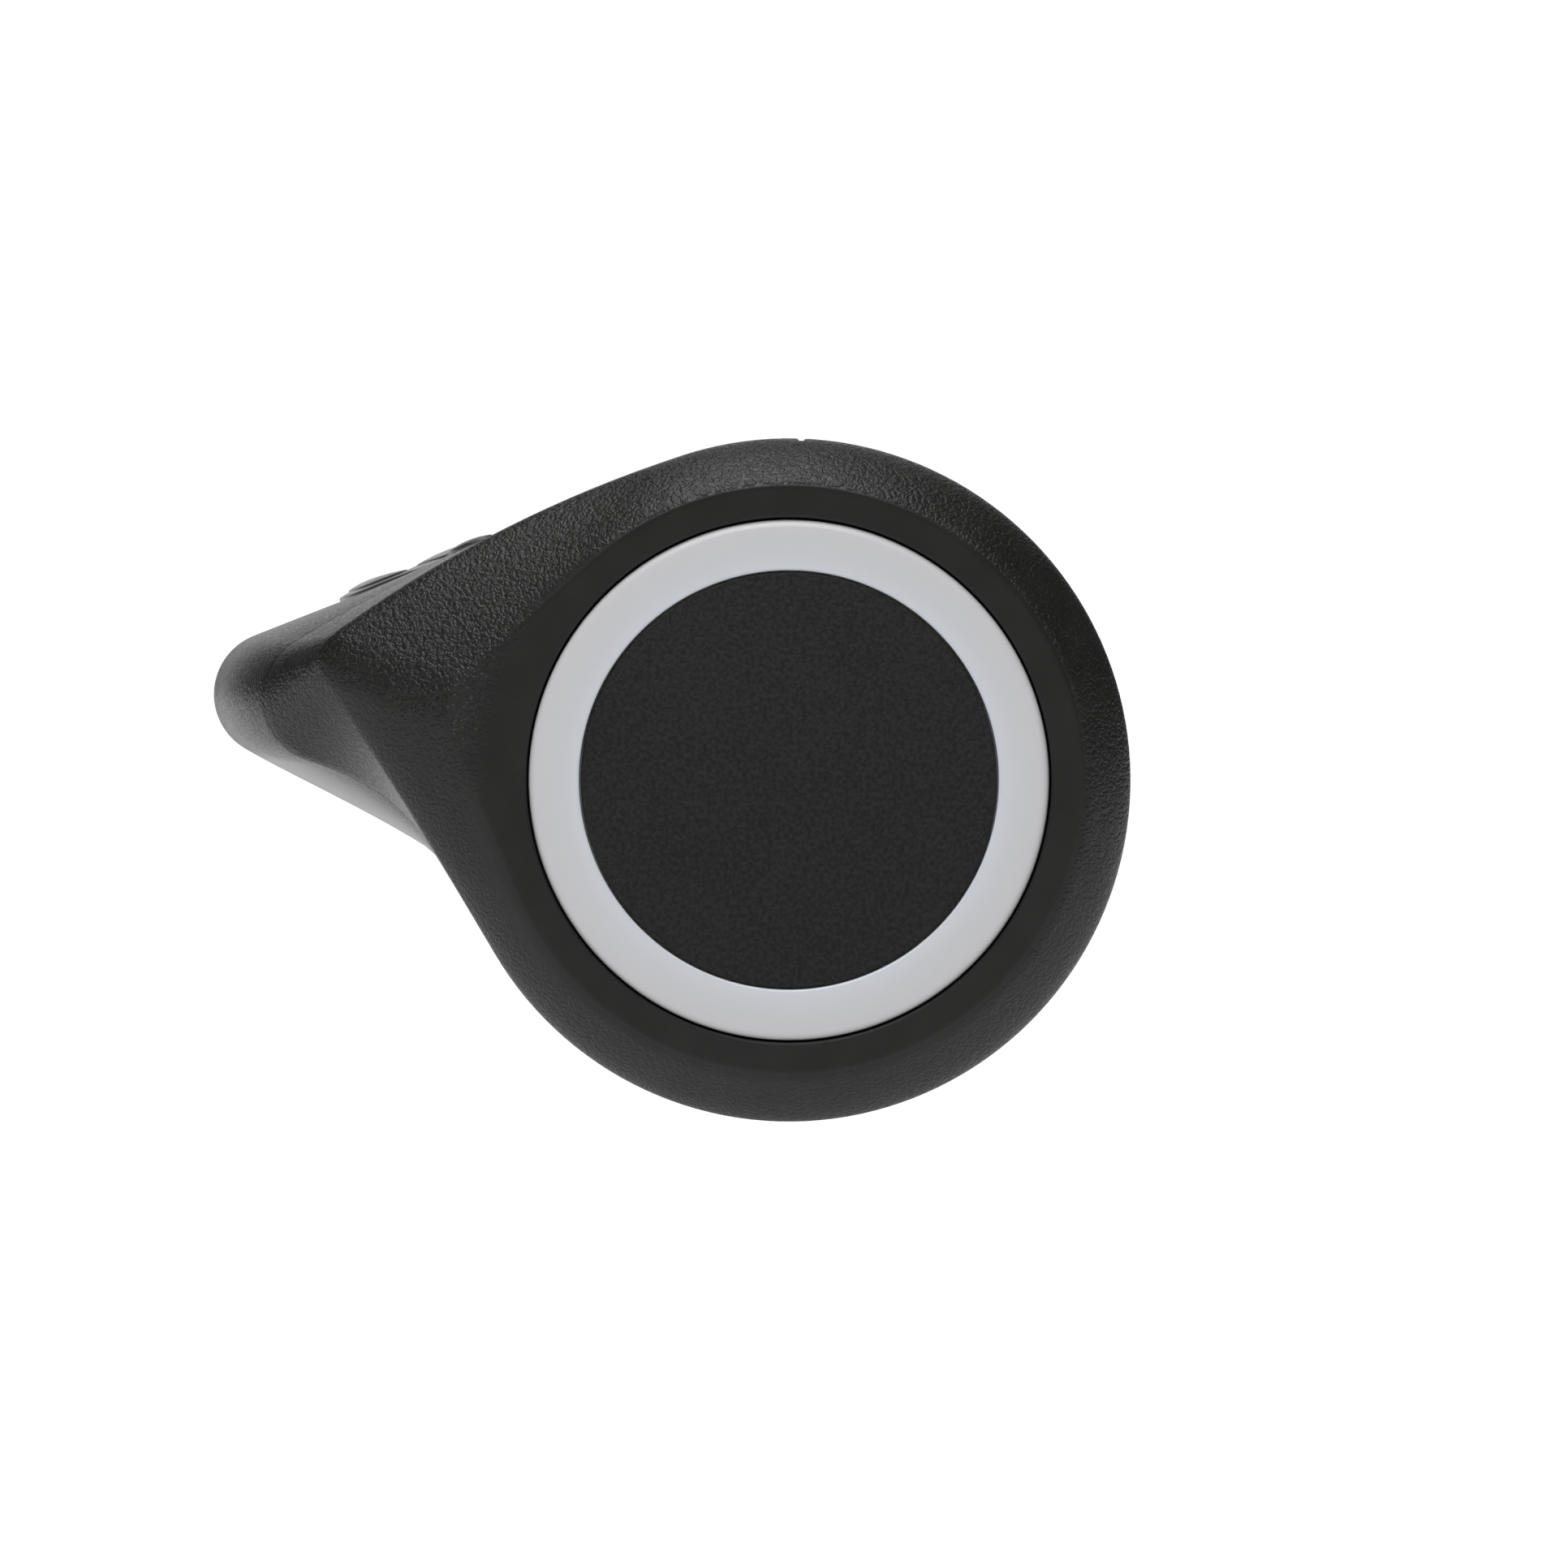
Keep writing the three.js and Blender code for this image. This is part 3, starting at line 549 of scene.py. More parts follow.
class Section:
    """The body's outline across one station: a round core, a round tip, and the palm line
    and hollow underside that join them. All in X and Z."""

    def __init__(self, y):
        neck = smooth(y, waist_end, body_end)
        taper = smooth(y, peak_y, body_end)
        palm_share = smooth(y, ridge_y, peak_y) * (1 - smooth(y, waist_end, neck_start))
        overhangs = (*near_overhangs, wing_overhang, neck_overhang)
        crown = along_wing(y, *palm_crowns, neck)
        tip_turn = along_wing(y, *tip_hollows, neck)
        root_turn = along_wing(y, *root_hollows, neck)
        self.radius = core_radius(y)
        self.centre = palm_shift * palm_share
        self.tip_radius = along_wing(y, *tip_radii, neck)
        reach = self.radius - self.centre.x + along_wing(y, *overhangs, taper)
        self.tip = Vector((self.tip_radius - reach, along_wing(y, *tip_heights, neck)))
        across = self.tip - self.centre
        spread = math.acos(clamp((self.radius - self.tip_radius) / across.length, -1, 1))
        heading = math.atan2(across.y, across.x) % math.tau
        self.palm_angle = heading - spread - crown
        self.tip_above = heading - spread + crown
        self.tip_below = heading + spread + tip_turn
        self.root_angle = heading + spread - root_turn
        self.root_handle = lerp(shoulder_root_handle, wing_root_handle, towards_peak(y))
        self.tip_handle = lerp(shoulder_tip_handle, wing_tip_handle, towards_peak(y))

    def core(self, t):
        angle = lerp(self.palm_angle, self.root_angle - math.tau, t)
        return on_circle(self.centre, self.radius, angle)

    def underside(self, t):
        root = on_circle(self.centre, self.radius, self.root_angle)
        below = on_circle(self.tip, self.tip_radius, self.tip_below)
        span = (below - root).length
        root_way = Vector((math.sin(self.root_angle), -math.cos(self.root_angle)))
        tip_way = Vector((-math.sin(self.tip_below), math.cos(self.tip_below)))
        first = root + root_way * self.root_handle * span
        second = below + tip_way * self.tip_handle * span
        s = 1 - t
        return root * s**3 + first * 3 * s * s * t + second * 3 * s * t * t + below * t**3

    def nose(self, t):
        return on_circle(self.tip, self.tip_radius, lerp(self.tip_below, self.tip_above, t))

    def palm_corners(self):
        tip_end = on_circle(self.tip, self.tip_radius, self.tip_above)
        core_end = on_circle(self.centre, self.radius, self.palm_angle)
        chord = core_end - tip_end
        rise = chord.length / 2 * math.tan((self.tip_above - self.palm_angle) / 2)
        out = Vector((-chord.y, chord.x)).normalized()
        return tip_end, (tip_end + core_end) / 2 + out * rise, core_end

    def palm(self, t):
        a, b, c = self.palm_corners()
        return a * (1 - t) ** 2 + b * 2 * t * (1 - t) + c * t * t

    def top(self, x):
        """Height of the upper surface at a distance from the bar's axis."""
        tip_end, _, core_end = self.palm_corners()
        if x > core_end.x:
            return self.centre.y + math.sqrt(max(0, self.radius**2 - (x - self.centre.x) ** 2))
        if x < tip_end.x:
            return self.tip.y + math.sqrt(max(0, self.tip_radius**2 - (x - self.tip.x) ** 2))
        return self.palm((x - tip_end.x) / (core_end.x - tip_end.x)).y


core_steps, underside_steps, nose_steps, palm_steps = 112, 46, 40, 46


def ramp_stations(start, end, steps, power=1.0):
    return [lerp(start, end, (i / steps) ** power) for i in range(steps)]


body_stations = [
    *ramp_stations(face_y, face_y + face_edge, 8, 2),
    *ramp_stations(face_y + face_edge, ridge_y - crease_run, 18),
    *ramp_stations(ridge_y - crease_run, ridge_y + crease_run, 8),
    *ramp_stations(ridge_y + crease_run, shoulder_y - crease_run, 22),
    *ramp_stations(shoulder_y - crease_run, shoulder_y + crease_run, 6),
    *ramp_stations(shoulder_y + crease_run, peak_y, 60, 1.1),
    *ramp_stations(peak_y, body_end - end_rounding, 118),
    *[body_end - end_rounding * math.cos(i / 12 * math.pi / 2) for i in range(13)],
]


ring_edge = flange_radius - bevel_width
polish_past_ring = -0.1 * MM
polish_fade = 0.15 * MM
polish_fade_at_wing = 2.2 * MM
polish_begins = (1.5 * MM, 7 * MM)
polish_ends = (78 * MM, 96 * MM)


def grain_at(part, t, y, point):
    """1 where the mould is etched and 0 where it is polished."""
    out = Vector(point).length
    left = smooth(-point[0] / max(out, 1e-6), 0.55, 0.95)
    start = ring_edge + lerp(-polish_fade, polish_past_ring, left)
    mask = smooth(out, start, start + lerp(polish_fade, polish_fade_at_wing, left))
    if part == "underside":
        shelf = smooth(y, *polish_begins) * (1 - smooth(y, *polish_ends))
        mask *= 1 - shelf * smooth(t, 0.02, 0.16) * (1 - smooth(t, 0.9, 1.0))
    return mask


points, faces, grain = [], [], []
for y in body_stations:
    section = Section(y)
    row = [("core", i / core_steps, section.core) for i in range(core_steps)]
    row += [("underside", i / underside_steps, section.underside) for i in range(underside_steps)]
    row += [("nose", i / nose_steps, section.nose) for i in range(nose_steps)]
    row += [("palm", i / palm_steps, section.palm) for i in range(palm_steps)]
    for part, t, place_on in row:
        spot = place_on(t)
        points.append((spot.x, y, spot.y))
        grain.append(grain_at(part, t, y, spot))
columns = core_steps + underside_steps + nose_steps + palm_steps

cap_radius = cap_high.x
cap_back = sleeve_front - seat_gap
recess_radius = cap_radius + 0.13 * MM
recess_edge = 0.12 * MM
pocket_radius = sleeve_flange_radius + bond_line
pocket_back = sleeve_front + sleeve_flange_thickness + bond_line
face_rings = 9
inside_profile = [
    (recess_radius, face_y + recess_edge),
    (recess_radius, cap_back),
    (pocket_radius, cap_back),
    (pocket_radius, pocket_back),
    (rubber_bore, pocket_back),
    *[(rubber_bore, lerp(pocket_back, body_end, i / 24)) for i in range(1, 25)],
]
face_outline = points[:columns]
opening_rows = [("face", i / face_rings) for i in range(1, face_rings + 1)]
opening_rows += [("inside", ring) for ring in inside_profile]
for kind, value in opening_rows:
    for x, y, z in face_outline:
        out = math.hypot(x, z)
        if kind == "face":
            radius, level = lerp(out, recess_radius + recess_edge, value), face_y
        else:
            radius, level = value
        points.append((x / out * radius, level, z / out * radius))
        grain.append(grain_at("face", 0, level, (x / out * radius, z / out * radius)))


def strip(first, second):
    """Faces between two rows of the body's grid."""
    for i in range(columns):
        j = (i + 1) % columns
        faces.append((first * columns + i, first * columns + j, second * columns + j, second * columns + i))


outer_rows = len(body_stations)
for i in range(outer_rows - 1):
    strip(i, i + 1)
strip(0, outer_rows)
for i in range(outer_rows, outer_rows + len(opening_rows) - 1):
    strip(i, i + 1)
strip(outer_rows + len(opening_rows) - 1, outer_rows - 1)

body = bpy.data.meshes.new("grip_body_rubber")
body.from_pydata(points, [], faces)
mask = body.attributes.new("grain", "FLOAT", "POINT")
mask.data.foreach_set("value", grain)
shape = bmesh.new()
shape.from_mesh(body)
bmesh.ops.recalc_face_normals(shape, faces=shape.faces)
shape.to_mesh(body)
shape.free()

notch_offset = 0.7 * MM
notch_width = 0.5 * MM
notch_depth = 0.15 * MM
notch_length = 9 * MM
notch = block(
    "notch",
    (notch_offset - notch_width / 2, face_y - seat_gap, flange_radius - notch_depth),
    (notch_offset + notch_width / 2, face_y + notch_length, flange_radius + notch_depth),
    edge=0.1 * MM,
)
keyway = block(
    "keyway",
    (rubber_bore - key_sunk, key_start - bond_line, -key_width / 2 - bond_line),
    (rubber_bore + key_height, key_start + key_length + bond_line, key_width / 2 + bond_line),
    turn=-math.tau / 8,
)


def rubber_material(name, dark, light, shine, roughness, grained):
    """Black rubber, polished or with an etched grain of short wrinkles, as on leather."""
    material, nodes, shader, place = blank_material(name, shine)
    mottle = add_speckle(nodes, place, 7000)
    micro = add_node(nodes, "ShaderNodeMath", "MULTIPLY_ADD", [(1, 0.08), (2, 0.0)])
    colour = add_ramp(nodes, [(0.3, dark), (0.75, light)])
    rough = add_ramp(nodes, [(0.0, roughness[0]), (1.0, roughness[1])])
    surface = add_node(nodes, "ShaderNodeBump", values=[("Strength", 1.0), ("Distance", 0.03 * MM)])
    if grained:
        wrinkle_sizes = [("Scale", 4600), ("Detail", 1), ("Distortion", 0.5)]
        wrinkles = add_node(nodes, "ShaderNodeTexNoise", values=wrinkle_sizes)
        dome = add_node(nodes, "ShaderNodeMapRange", values=[("From Min", 0.3), ("From Max", 0.68)])
        dome.interpolation_type = "SMOOTHSTEP"
        where = nodes.new("ShaderNodeAttribute")
        where.attribute_name = "grain"
        etched = add_node(nodes, "ShaderNodeMath", "MULTIPLY")
        link(place, "Object", wrinkles, "Vector")
        link(wrinkles, "Fac", dome, "Value")
        link(dome, 0, etched, 0)
        link(where, "Fac", etched, 1)
        link(etched, 0, micro, 2)
        link(etched, 0, rough, "Fac")
    else:
        link(mottle, "Mottle", rough, "Fac")
    link(mottle, "Height", micro, 0)
    link(micro, 0, surface, "Height")
    link(mottle, "Mottle", colour, "Fac")
    wire_shader(shader, colour, rough, surface)
    return material


grained_rubber = rubber_material(
    "grained_rubber",
    (0.0096, 0.0095, 0.009),
    (0.0134, 0.0132, 0.0126),
    shine=0.27,
    roughness=(0.3, 0.42),
    grained=True,
)
cuts = [notch, spaced_round_bar(keyway, key_count, grained_rubber)]
body = joined("grip_body_rubber", body, cuts, "DIFFERENCE")
soften(body, crease=math.radians(20))
placed("grip_body_rubber", body, grained_rubber, "black_rubber", "grip_body")

# Palm pads
# Raised islands of the same rubber on top of the wing, moulded in one with it.
# Each rises in two low, soft-edged steps and is polished smooth in the mould.

pad_pitch_along = 14.5 * MM
pad_pitch_across = 5.2 * MM
pad_gap = 0.9 * MM
pad_lean = math.radians(12)
pad_slant = math.radians(45)
pad_corner_softness = 0.65 * MM
pad_field_start = 18 * MM
pad_field_end = 17 * MM
pad_field_inner = 5.5 * MM
pad_border = 7.3 * MM
smallest_pad = 1.25 * MM
first_pad_offset = 14.3 * MM
trim_steps = 300
first_trim = 0.8 * MM
outline_halvings = 22
# Share of the way from the pad's edge to its middle, and height over the wing in mm
pad_levels = [
    (0.00, -0.60),
    (0.00, 0.13),
    (0.02, 0.19),
    (0.06, 0.23),
    (0.20, 0.28),
    (0.36, 0.33),
    (0.375, 0.30),
    (0.40, 0.30),
    (0.405, 0.39),
    (0.425, 0.43),
    (0.47, 0.46),
    (0.60, 0.51),
    (0.80, 0.58),
    (0.97, 0.62),
]
pad_columns = 72


def edge_reach(y):
    section = Section(y)
    return section.tip_radius - section.tip.x - pad_border


def nearest_bound(bounds, point):
    return max(bounds, key=lambda bound: bound[0].dot(point) - bound[1])


def trimmed_pad(middle, side, end, half_wide, half_long):
    """The bounds of one pad in plan, as (outward normal, limit) pairs, and its middle."""
    step = 1 * MM
    reach = edge_reach(middle.y)
    slope = (edge_reach(middle.y + step) - reach) / step
    edge = Vector((-1, -slope)).normalized()
    bounds = [
        (side, side.dot(middle) + half_wide),
        (-side, half_wide - side.dot(middle)),
        (end, end.dot(middle) + half_long),
        (-end, half_long - end.dot(middle)),
        (edge, edge.dot(Vector((-reach, middle.y)))),
        (Vector((1, 0)), -pad_field_inner),
        (Vector((0, 1)), body_end - pad_field_end),
        (Vector((0, -1)), -(face_y + pad_field_start)),
    ]
    heart = middle.copy()
    for i in range(trim_steps):
        normal, _ = nearest_bound(bounds, heart)
        heart -= normal * first_trim / (1 + i * 0.25)
    depth = min(limit - normal.dot(heart) for normal, limit in bounds)
    return (bounds, heart) if depth >= smallest_pad else None


def pad_plan():
    along = Vector((-math.sin(pad_lean), math.cos(pad_lean)))
    slant = Vector((-math.cos(pad_slant), math.sin(pad_slant)))
    side = Vector((-along.y, along.x))
    end = Vector((-slant.y, slant.x))
    row_step = slant * pad_pitch_across / abs(slant.dot(side))
    pad_step = along * pad_pitch_along
    corner = Vector((-first_pad_offset, face_y + pad_field_start))
    half_wide = (pad_pitch_across - pad_gap) / 2
    half_long = (abs(pad_step.dot(end)) - pad_gap) / 2
    rows = math.ceil((wing_overhang + flange_radius) / pad_pitch_across)
    ranks = math.ceil((body_end - face_y) / pad_pitch_along)
    for row in range(-rows, rows + 1):
        for rank in range(-ranks, ranks + 1):
            shift = 0.5 * (-1 if row < 0 else 1) if row % 2 else 0
            middle = corner + row_step * (row + 0.5) + pad_step * (rank + 0.5 + shift)
            if face_y <= middle.y <= body_end:
                pad = trimmed_pad(middle, side, end, half_wide, half_long)
                if pad:
                    yield pad


def outside_pad(bounds, point):
    total = sum(math.exp((n.dot(point) - limit) / pad_corner_softness) for n, limit in bounds)
    return pad_corner_softness * math.log(total)


def pad_outline(bounds, heart, inset):
    outline = []
    for i in range(pad_columns):
        ray = on_circle(Vector((0, 0)), 1, -i / pad_columns * math.tau)
        inside, outside = 0, pad_pitch_along
        for _ in range(outline_halvings):
            half = (inside + outside) / 2
            if outside_pad(bounds, heart + ray * half) > -inset:
                outside = half
            else:
                inside = half
        outline.append(heart + ray * inside)
    return outline


def over_top(x, y, height):
    """A point at some height over the upper surface, measured square to it."""
    step = 0.2 * MM
    before, here, after = Section(y - step), Section(y), Section(y + step)
    slope_x = (here.top(x + step) - here.top(x - step)) / (2 * step)
    slope_y = (after.top(x) - before.top(x)) / (2 * step)
    up = Vector((-slope_x, -slope_y, 1)).normalized()
    return Vector((x, y, here.top(x))) + up * height


points, faces = [], []
for bounds, heart in pad_plan():
    first = len(points)
    half_width = -outside_pad(bounds, heart)
    for share, height in pad_levels:
        outline = pad_outline(bounds, heart, share * half_width)
        points += [over_top(p.x, p.y, height * MM) for p in outline]
    for row in range(len(pad_levels) - 1):
        here, above = first + row * pad_columns, first + (row + 1) * pad_columns
        for i in range(pad_columns):
            j = (i + 1) % pad_columns
            faces.append((here + i, here + j, above + j, above + i))
    top = first + (len(pad_levels) - 1) * pad_columns
    for level, row, turn in ((pad_levels[0][1], first, 1), (pad_levels[-1][1], top, -1)):
        middle = len(points)
        points.append(over_top(heart.x, heart.y, level * MM))
        for i in range(pad_columns):
            pair = (row + i, row + (i + 1) % pad_columns)
            faces.append((middle, *pair[::turn]))
pads = mesh_from("palm_pads", points, faces)
soften(pads, crease=math.radians(40))
# The pads are the body's rubber, but their colour is painted about three times lighter. This is painted
# light, where their polished tops catch the overhead light.
smooth_rubber_painted_light = rubber_material(
    "smooth_rubber_painted_light",
    (0.028, 0.0264, 0.025),
    (0.04, 0.038, 0.0362),
    shine=0.5,
    roughness=(0.24, 0.42),
    grained=False,
)
placed("palm_pads", pads, smooth_rubber_painted_light, "black_rubber")

# End cap
# A satin light grey disc, injection moulded with a slotted plug behind it. The plug's bead
# snaps into the sleeve's groove, and its rim is the stop for the bar's end.

cap_front = cap_low.y
plug_radius = sleeve_bore - 0.25 * MM
plug_bore = plug_radius - 1.75 * MM
bead_y = sleeve_front + sleeve_flange_thickness
bead_half = 0.5 * MM
bead_height = 0.4 * MM
slot_count = 4
slot_width = 1.6 * MM
inlay_low, inlay_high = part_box("cap_inlay")
inlay_radius = inlay_high.x
inlay_front = inlay_low.y
inlay_back = inlay_front + 1 * MM
inlay_clearance = 0.1 * MM
peg_count = 3
peg_radius = 1.1 * MM
peg_circle = 6.5 * MM
cap_crown = 0.07 * MM


def crowned(radius):
    """The cap's front face between its edge and the inlay, very slightly domed."""
    middle = (cap_radius + inlay_radius) / 2
    half = (cap_radius - inlay_radius) / 2
    return cap_front + cap_crown * clamp(abs(radius - middle) / half) ** 2


cap_edge = 0.45 * MM
seat_radius = inlay_radius + inlay_clearance
lip = 0.12 * MM
outer_round = [
    (
        cap_radius - cap_edge * (1 - math.sin(a)),
        crowned(cap_radius - cap_edge) + cap_edge * (1 - math.cos(a)),
    )
    for a in [i / 8 * math.pi / 2 for i in range(9)]
]
face_steps = [
    (r, crowned(r))
    for r in [lerp(seat_radius + lip, cap_radius - cap_edge, i / 10) for i in range(10)]
]
cap_profile = [
    (0, inlay_back + inlay_clearance),
    (seat_radius, inlay_back + inlay_clearance),
    (seat_radius, crowned(seat_radius) + lip),
    (seat_radius + lip * 0.3, crowned(seat_radius) + lip * 0.3),
    *face_steps,
    *outer_round,
    (cap_radius, cap_back),
    (plug_radius, cap_back),
    (plug_radius, bead_y - bead_half),
    (plug_radius + bead_height, bead_y),
    (plug_radius, bead_y + bead_half),
    (plug_radius, -0.25 * MM),
    (plug_radius - 0.25 * MM, 0),
    (plug_bore, 0),
    (plug_bore, cap_back),
    (0, cap_back),
]


def peg_mesh(name, radius, start, end):
    """A round peg parallel to the bar, at the top of the pegs' circle."""
    middle = Matrix.Translation((0, (start + end) / 2, peg_circle))
    return rod(name, radius, end - start, middle @ Matrix.Rotation(math.pi / 2, 4, "X"), 32)


def grey_plastic_material():
    """Satin grey plastic, painted lighter and bluer towards the inlay as a painted highlight on the face's
    inner edge, with faint flow marks.
    """
    material, nodes, shader, place = blank_material("light_grey_plastic", 0.5)
    across = add_node(nodes, "ShaderNodeVectorMath", "MULTIPLY", [(1, (1, 0, 1))])
    distance = add_node(nodes, "ShaderNodeVectorMath", "LENGTH")
    rim_ends = [("From Min", inlay_radius), ("From Max", cap_radius)]
    rim = add_node(nodes, "ShaderNodeMapRange", values=rim_ends)
    # At the rim this is the plastic's own grey. Towards the inlay it is painted lighter and bluer, as a
    # painted highlight.
    grey_with_painted_highlight = add_ramp(
        nodes,
        [(0.0, (0.51, 0.535, 0.57)), (0.35, (0.485, 0.493, 0.515)), (1.0, (0.475, 0.472, 0.48))],
    )
    speckle = add_speckle(nodes, place, 9000)
    rough = add_ramp(nodes, [(0.3, 0.36), (0.7, 0.46)])
    surface = add_node(nodes, "ShaderNodeBump", values=[("Distance", 0.004 * MM)])
    link(place, "Object", across, 0)
    link(across, 0, distance, 0)
    link(distance, "Value", rim, "Value")
    link(rim, 0, grey_with_painted_highlight, "Fac")
    link(speckle, "Mottle", rough, "Fac")
    link(speckle, "Height", surface, "Height")
    wire_shader(shader, grey_with_painted_highlight, rough, surface)
    return material


light_grey_plastic = grey_plastic_material()
relief_slot = block(
    "relief_slot",
    (plug_bore - 0.5 * MM, cap_back + seat_gap, -slot_width / 2),
    (plug_radius + 1 * MM, 1 * MM, slot_width / 2),
    turn=-math.tau / 8,
)
peg_hole = peg_mesh("peg_hole", peg_radius + inlay_clearance, cap_front, 0)
cap = joined(
    "end_cap_disc",
    turned("cap", cap_profile, 256),
    [
        spaced_round_bar(relief_slot, slot_count, light_grey_plastic),
        spaced_round_bar(peg_hole, peg_count, light_grey_plastic),
    ],
    "DIFFERENCE",
)
soften(cap, crease=math.radians(24))
placed("end_cap_disc", cap, light_grey_plastic, "grey_plastic", "end_cap")

# Cap inlay
# A plain dark disc let into the grey cap and held by three pegs through it.
# It is moulded in a spark-eroded tool, so its face is evenly matt and finely pitted.

spark_matt_plastic = speckled_material(
    "spark_matt_plastic",
    (0.004, 0.0048, 0.004),
    (0.0125, 0.0138, 0.0125),
    grains=4200,
    bump=0.08 * MM,
    roughness=(0.5, 0.62),
    shine=0.2,
)
inlay_profile = rounded(
    [
        (0, inlay_front),
        (inlay_radius, inlay_front, True),
        (inlay_radius, inlay_back),
        (0, inlay_back),
    ],
    radius=0.12 * MM,
)
peg = peg_mesh("peg", peg_radius, inlay_back - 0.4 * MM, inlay_high.y)
inlay = joined(
    "cap_inlay_disc",
    turned("inlay", inlay_profile, 256),
    [spaced_round_bar(peg, peg_count, spark_matt_plastic)],
    "UNION",
)
soften(inlay)
placed("cap_inlay_disc", inlay, spark_matt_plastic, "dark_plastic", "cap_inlay")

# Locking collar
# A split ring turned and milled from aluminium, bead-blasted and anodised black.
# Its boss is drilled and counterbored for the screw, and its dogs lock into the sleeve.

collar_back = collar_high.y
collar_front = collar_low.y + dog_length
collar_bore = 11.3 * MM
collar_radius = collar_high.x
collar_edge = 0.6 * MM
boss_bottom = -collar_low.z
split_width = 1.8 * MM
screw_low, screw_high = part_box("collar_screw")
screw_y = (screw_low.y + screw_high.y) / 2
screw_z = (screw_low.z + screw_high.z) / 2
screw_hole_radius = 2.25 * MM
counterbore_radius = 3.75 * MM
screw_seat = 4.2 * MM
boss_half = 9.1 * MM
boss_corner = 3.2 * MM


def collar_outline():
    """Points of the collar's outline in X and Z: the ring, then the boss's two corners."""
    corner = Vector((boss_half - boss_corner, boss_corner - boss_bottom))
    heading = math.atan2(corner.y, corner.x)
    touch = heading + math.acos((collar_radius - boss_corner) / corner.length)
    left = Vector((-corner.x, corner.y))
    origin = Vector((0, 0))
    outline = [
        on_circle(origin, collar_radius, lerp(touch, math.pi - touch, i / 120)) for i in range(121)
    ]
    for middle, start, end in (
        (left, math.pi - touch, 1.5 * math.pi),
        (corner, -math.pi / 2, touch),
    ):
        outline += [on_circle(middle, boss_corner, lerp(start, end, i / 16)) for i in range(17)]
    return outline


def capped_rows(count, rows):
    """Faces between rows of a closed ring, and one over each end."""
    faces = [tuple(range(count)), tuple(range((rows - 1) * count, rows * count))]
    for row in range(rows - 1):
        here, there = row * count, (row + 1) * count
        for i in range(count):
            j = (i + 1) % count
            faces.append((here + i, here + j, there + j, there + i))
    return faces


def across_bar(name, outline, start, end, edge):
    """An outline extruded along the bar, with its rims rounded off."""
    angles = (0, 0.35, 0.7, 1.05, math.pi / 2)
    rows = [(edge * (1 - math.cos(a)), edge * (1 - math.sin(a))) for a in angles]
    levels = [(start + along, inset) for along, inset in rows]
    levels += [(end - along, inset) for along, inset in reversed(rows)]
    count = len(outline)
    points = []
    for y, inset in levels:
        for i, spot in enumerate(outline):
            ahead = outline[(i + 1) % count] - outline[i - 1]
            inward = Vector((-ahead.y, ahead.x)).normalized()
            moved = spot + inward * inset
            points.append((moved.x, y, moved.y))
    return mesh_from(name, points, capped_rows(count, len(levels)))


def along_screw(name, radius, start, end, segments=64):
    """A bar along X at the screw's place."""
    middle = Matrix.Translation(((start + end) / 2, screw_y, screw_z))
    return rod(name, radius, end - start, middle @ Matrix.Rotation(math.pi / 2, 4, "Y"), segments)


anodised_black = speckled_material(
    "anodised_black",
    (0.028, 0.029, 0.032),
    (0.05, 0.051, 0.055),
    grains=6500,
    bump=0.006 * MM,
    roughness=(0.34, 0.46),
    metallic=0.85,
)
past = 2 * MM
dog_root = 1.2 * MM
bore_edge = 0.4 * MM
bore_profile = [
    (0, collar_front - past),
    (collar_bore + bore_edge + past, collar_front - past),
    (collar_bore, collar_front + bore_edge),
    (collar_bore, collar_back - bore_edge),
    (collar_bore + bore_edge + past, collar_back + past),
    (0, collar_back + past),
]
dog = ring_segment(
    "dog",
    collar_bore,
    sleeve_radius,
    math.pi / 2,
    dog_width,
    collar_front - dog_length,
    collar_front + dog_root,
)
collar = joined(
    "locking_collar_ring",
    across_bar("collar", collar_outline(), collar_front, collar_back, collar_edge),
    [
        turned("collar_bore", bore_profile, 160),
        along_screw("screw_hole", screw_hole_radius, -boss_half - past, boss_half + past),
        along_screw("counterbore", counterbore_radius, screw_seat, boss_half + past),
    ],
    "DIFFERENCE",
)
collar = joined(
    "locking_collar_ring", collar, [spaced_round_bar(dog, dog_count, anodised_black)], "UNION"
)
split = block(
    "split",
    (-split_width / 2, collar_front - past, -boss_bottom - past),
    (split_width / 2, collar_back + past, -past),
)
collar = joined("locking_collar_ring", collar, [split], "DIFFERENCE")
soften(collar)
placed("locking_collar_ring", collar, anodised_black, "black_anodised", "locking_collar")

# Collar screw
# A socket head cap screw of zinc-plated steel that pulls the collar's split closed.
# The head is knurled, the socket is broached for a 3 mm key and the shank is threaded.

screw_radius = 2 * MM
thread_pitch = 0.7 * MM
thread_depth = 0.38 * MM
lead_depth = 0.45 * MM
lead_run = 0.9 * MM
head_radius = (screw_high.z - screw_low.z) / 2
head_height = 4 * MM
under_head = screw_high.x - head_height
screw_tip = screw_low.x
plain_shank = 1.2 * MM
knurl_count = 36
knurl_depth = 0.09 * MM
knurl_start = under_head + 0.6 * MM
knurl_end = under_head + 3 * MM
knurl_fade = 0.1 * MM
head_edge = 0.4 * MM
key_across = 3 * MM
key_depth = 2 * MM

